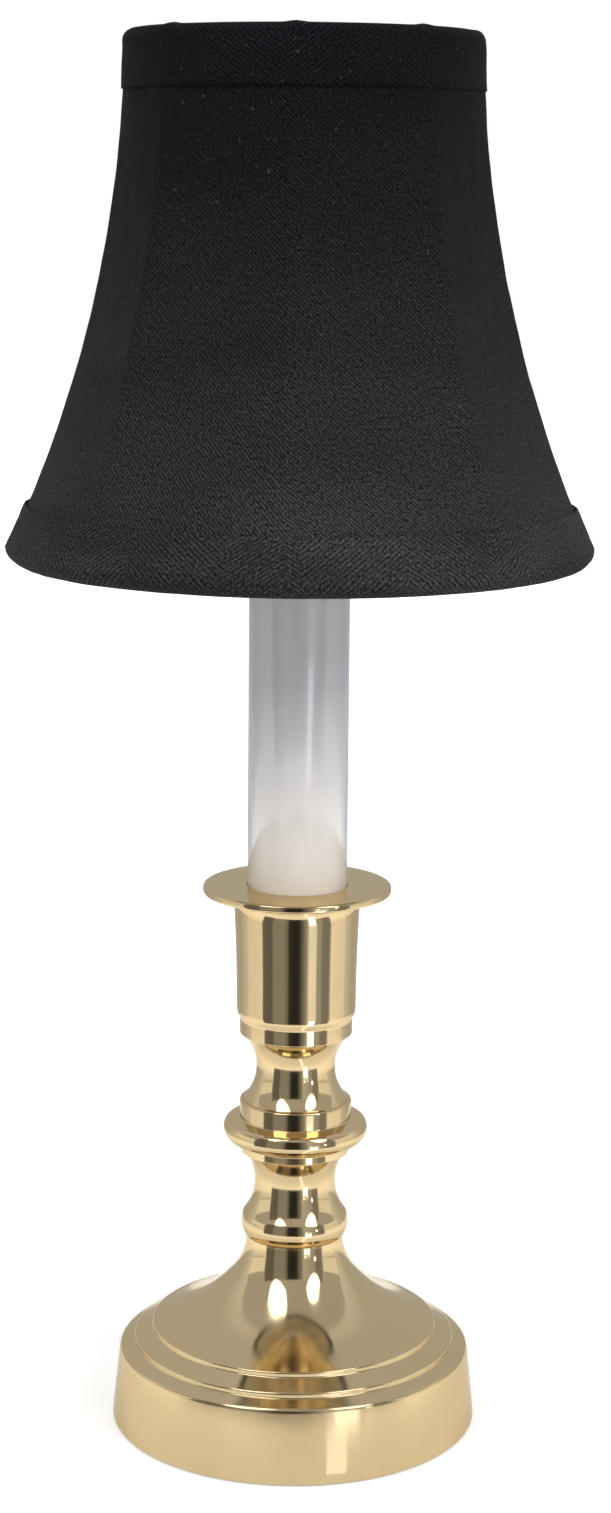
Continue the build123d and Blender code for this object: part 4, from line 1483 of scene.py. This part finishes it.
@dataclass
class Studio:
    """Floor, lights, cards and camera. Metres and degrees.

    Azimuth 0 is the camera's side, and it grows to the right. The cards are seen by reflections only, as
    round a table for photographs of bright metal, so the soft boxes don't show in them.
    """

    focal: float = 69.89
    sensor: float = 36.0
    camera_place: tuple[float, float, float] = (0.0016, -0.6385, 0.281)
    camera_tilt: float = 78.77
    camera_roll: float = 0.5
    middle: float = 0.1
    floor_half: float = 3.0
    floor_color: Color = (0.8, 0.8, 0.8)
    floor_lift: float = 0.4
    floor_fade: Point = (0.15, 0.7)
    mirrored_lifts: tuple[Point, ...] = ((0.08, 0.22), (0.13, 0.55), (0.2, 0.5), (0.3, 0.22), (1.0, 0.22))
    card_tint: Color = (0.97, 0.99, 1.06)
    card_step: float = 4.0
    disc_corners: int = 40
    sky: float = 0.3
    lights: tuple[SoftBox, ...] = (
        SoftBox("key", 46.0, 38.0, 1.05, (0.35, 0.5), 4.5, (1.0, 0.99, 0.97)),
        SoftBox("fill", -38.0, 50.0, 1.05, (0.4, 0.5), 3.5, (1.0, 0.99, 0.98)),
        SoftBox("low", 8.0, 9.0, 1.2, (2.2, 0.2), 4.4, (1.0, 0.96, 0.92)),
        SoftBox("top", 180.0, 75.0, 1.2, (0.9, 0.9), 4.0, (1.0, 1.0, 1.0)),
    )

    def camera(self) -> None:
        """Sets the camera up where the photograph was taken from."""
        data = bpy.data.cameras.new("camera")
        data.lens = self.focal
        data.sensor_width = self.sensor
        data.clip_start, data.clip_end = 0.02, 50.0
        camera = bpy.data.objects.new("camera", data)
        turn = Euler((math.radians(self.camera_tilt), 0.0, 0.0)).to_matrix()
        turn = turn @ Matrix.Rotation(math.radians(self.camera_roll), 3, "Z")
        camera.matrix_world = Matrix.LocRotScale(Vector(self.camera_place), turn.to_quaternion(), None)
        bpy.context.scene.collection.objects.link(camera)
        bpy.context.scene.camera = camera

    def spot(self, azimuth: float, distance: float, height: float) -> Vector:
        """A place in the studio, by direction and distance from the lamp's axis."""
        turn = math.radians(azimuth)
        return Vector((distance * math.sin(turn), -distance * math.cos(turn), height))

    def light(self, box: SoftBox) -> None:
        """Adds one soft box.

        Args:
            box: its place, size, power and colour.
        """
        data = bpy.data.lights.new(box.name, "AREA")
        data.shape = "RECTANGLE"
        data.size, data.size_y = box.size
        data.energy = box.power
        data.color = box.color
        light = bpy.data.objects.new(box.name, data)
        light.visible_glossy = False
        middle, lift = Vector((0.0, 0.0, self.middle)), math.radians(box.elevation)
        away = self.spot(box.azimuth, box.distance * math.cos(lift), box.distance * math.sin(lift))
        light.location = middle + away
        light.rotation_euler = (middle - light.location).to_track_quat("-Z", "Y").to_euler()
        bpy.context.scene.collection.objects.link(light)

    def seen(self, graph: Graph) -> tuple[Output, Output]:
        """Tells the kinds of rays apart.

        Args:
            graph: the node tree that asks.

        Returns:
            1 for the rays of the camera and of clear glass, and 1 for those of reflections.
        """
        rays = graph.add("ShaderNodeLightPath").outputs
        direct = graph.math("MAXIMUM", rays["Is Camera Ray"], rays["Is Transmission Ray"])
        return direct, rays["Is Glossy Ray"]

    def floor(self) -> None:
        """Builds the plain pale floor, which keeps the lamp's shadow."""
        half = self.floor_half
        mesh = bpy.data.meshes.new("floor")
        corners = [(-half, -half, 0.0), (half, -half, 0.0), (half, half, 0.0), (-half, half, 0.0)]
        mesh.from_pydata(corners, [], [(0, 1, 2, 3)])
        floor = link_object("floor", mesh)
        paint = Paint("pale_floor")
        paint.set(Base_Color=self.floor_color, Roughness=0.8)
        direct, mirrored = self.seen(paint)
        away = paint.around()[0]
        lift = paint.math("MULTIPLY", direct, paint.remap(away, self.floor_fade, (self.floor_lift, 1.0)))
        mirrored_lift = paint.math("MULTIPLY", mirrored, paint.levels(away, self.mirrored_lifts))
        glow = {"Color": (1.0, 1.0, 1.0), "Strength": paint.math("MAXIMUM", lift, mirrored_lift)}
        shaders = {0: paint.shader.outputs[0], 1: paint.add("ShaderNodeEmission", glow).outputs[0]}
        both = paint.add("ShaderNodeAddShader", shaders)
        paint.tree.links.new(both.outputs[0], paint.tree.nodes["Material Output"].inputs["Surface"])
        mesh.materials.append(paint.material)

    def card(self, name: str, azimuths: Point, edge: Sequence[Point], levels: Sequence[Point]) -> None:
        """Adds one bent card.

        Args:
            name: the card's name.
            azimuths: its first and last direction.
            edge: distance and height of the points of its edge.
            levels: how bright it is, as directions and levels, or one level for the whole card.
        """
        first, last = azimuths
        steps = max(2, round((last - first) / self.card_step))
        vertices, faces = [], []
        for i in range(steps + 1):
            vertices += [self.spot(first + (last - first) * i / steps, *point) for point in edge]
        for i in range(steps):
            for k in range(len(edge) - 1):
                a = i * len(edge) + k
                faces.append((a, a + 1, a + len(edge) + 1, a + len(edge)))
        self.hang(name, vertices, faces, levels)

    def disc(self, name: str, azimuth: float, elevation: float, size: Point, level: float) -> None:
        """Adds an oval card a metre away, which a waisted neck mirrors as a round light.

        Args:
            name: the card's name.
            azimuth: its direction.
            elevation: its height, as an angle from the lamp's middle.
            size: half its width and half its height.
            level: how bright it is.
        """
        lift = math.radians(elevation)
        middle = self.spot(azimuth, math.cos(lift), self.middle + math.sin(lift))
        aside = self.spot(azimuth + 90, size[0], 0.0)
        upwards = self.spot(azimuth, -math.sin(lift), math.cos(lift)) * size[1]
        rim = []
        for i in range(self.disc_corners):
            turn = TAU * i / self.disc_corners
            rim.append(middle + aside * math.cos(turn) + upwards * math.sin(turn))
        self.hang(name, rim, [tuple(range(self.disc_corners))], [(azimuth, level)])

    def lane(self, name: str, turns: Point, start: Point, reach: float, level: float) -> None:
        """Adds a bright strip on the floor that a turned foot mirrors as an upright bar.

        Args:
            name: the strip's name.
            turns: directions in which its sides leave the foot.
            start: radius of the foot, and the strip's height.
            reach: length of the strip.
            level: how bright it is.
        """
        near = [self.spot(turn, *start) for turn in turns]
        far = [point + self.spot(2 * turn, reach, 0.0) for point, turn in zip(near, turns)]
        self.hang(name, [*near, *far], [(0, 1, 3, 2)], [(turns[0], level)])

    def hang(self, name: str, vertices: list[Vector], faces: list[tuple], levels: Sequence[Point]) -> None:
        """Adds the mesh of a card and lights it.

        Args:
            name: the card's name.
            vertices: its points.
            faces: its faces.
            levels: how bright it is, as directions and levels.
        """
        mesh = bpy.data.meshes.new(name)
        mesh.from_pydata(vertices, [], faces)
        card = link_object(name, mesh)
        paint = Paint(name)
        stops = []
        for azimuth, level in levels:
            stops.append((math.radians(azimuth), tuple(level * c for c in self.card_tint)))
        glow: Socket = stops[0][1]
        if len(stops) > 1:
            x, y, _ = paint.split(paint.place)
            turn = paint.math("ARCTAN2", x, paint.math("MULTIPLY", y, -1.0))
            start = stops[0][0] - 0.01
            glow = paint.ramp(paint.math("WRAP", turn, start + TAU, start), stops, "EASE")
        paint.set(Base_Color=(0.0, 0.0, 0.0), Roughness=1.0, Specular_IOR_Level=0.0)
        paint.set(Emission_Color=glow, Emission_Strength=1.0)
        mesh.materials.append(paint.material)
        card.visible_camera = card.visible_diffuse = card.visible_shadow = False
        card.visible_transmission = card.visible_volume_scatter = False

    def cards(self) -> None:
        """Adds a dark card in front with paler bands, grey ones round it, and bright strips and ovals."""
        bands = [(-67, 0.5), (-64, 0.18), (-48, 0.16), (-43, 0.32), (-24, 0.33), (-17, 0.22), (-13, 0.05)]
        bands += [(-4, 0.03), (5, 0.04), (10, 0.16), (17, 0.33), (21, 0.6), (46, 0.45), (50, 0.28)]
        bands += [(62, 0.28), (67, 0.6)]
        grey, over = 0.52, [(1.22, 0.93), (0.97, 1.3), (0.0, 1.6)]
        near, far, foot, sliver, line = 0.002, 0.0021, 0.0022, 0.0023, 0.0024
        self.card("card_front", (-67.0, 67.0), [(0.14, 0.001), (1.2, 0.001), (1.2, 0.95)], bands)
        self.lane("card_lane_foot", (10.8, 17.4), (0.043, foot), 0.075, 1.6)
        self.card("card_lane_near", (23, 36), [(0.11, near), (0.3, near)], [(23, 3.2)])
        self.card("card_lane_far", (22, 38), [(0.3, far), (1.2, far)], [(22, 0.95)])
        self.card("card_line", (23.5, 27.5), [(0.64, line), (1.19, line)], [(23.5, 3.6)])
        self.disc("card_disc_left", -40.0, 54.0, (0.2, 0.38), 3.4)
        self.disc("card_disc_right", 45.0, 41.0, (0.19, 0.36), 3.4)
        self.card("card_sliver", (46, 50), [(0.85, sliver), (1.19, sliver), (1.19, 0.1)], [(46, 6.0)])
        self.card("card_overhead", (-67.0, 67.0), over, [(-67, grey)])
        behind = [(0.25, 0.0012), (1.3, 0.0012), (1.25, 0.95), *over[1:]]
        self.card("card_back", (104.0, 256.0), behind, [(104, 0.8), (130, 0.6), (230, 0.6), (256, 0.8)])
        self.card("card_side_right", (67.0, 104.0), [(1.24, 0.5), *over], [(67.0, grey)])
        self.card("card_side_left", (-104.0, -67.0), [(1.24, 0.5), *over], [(-104.0, grey)])

    def world(self) -> None:
        """Sets up white surroundings for the camera, reflections and glass, softer light for the rest."""
        world = bpy.data.worlds.new("studio")
        bpy.context.scene.world = world
        world.use_nodes = True
        graph = Graph(world.node_tree)
        back = graph.tree.nodes["Background"]
        graph.put(back.inputs["Color"], (1.0, 1.0, 1.0))
        strength = graph.math("MAXIMUM", *self.seen(graph))
        graph.put(back.inputs["Strength"], graph.math("MAXIMUM", strength, self.sky))

    def build(self) -> None:
        """Sets up the whole studio."""
        self.camera()
        self.floor()
        self.cards()
        self.world()
        for box in self.lights:
            self.light(box)
        bpy.context.scene.view_settings.view_transform = "Standard"


def dress_cad_nodes() -> None:
    """Gives each CAD node that stays the material of its slot."""
    for row in frame["record"]["subparts"]:
        node = frame["nodes"][row["node"]]
        material = finish_material(row["material_slot"])
        node.data.materials.clear()
        node.data.materials.append(material)
        LOG.info("%s: %s", row["node"], material.name)


def main() -> None:
    """Builds the studio and every piece."""
    logging.basicConfig(level=logging.INFO, format="%(name)s: %(message)s")
    Studio().build()
    dress_cad_nodes()
    Candlestick().build()
    Candle().build()
    bell = Bell()
    ShadeFrame(bell).build()
    ShadeCloth(bell).build()


if __name__ == "__main__":
    main()
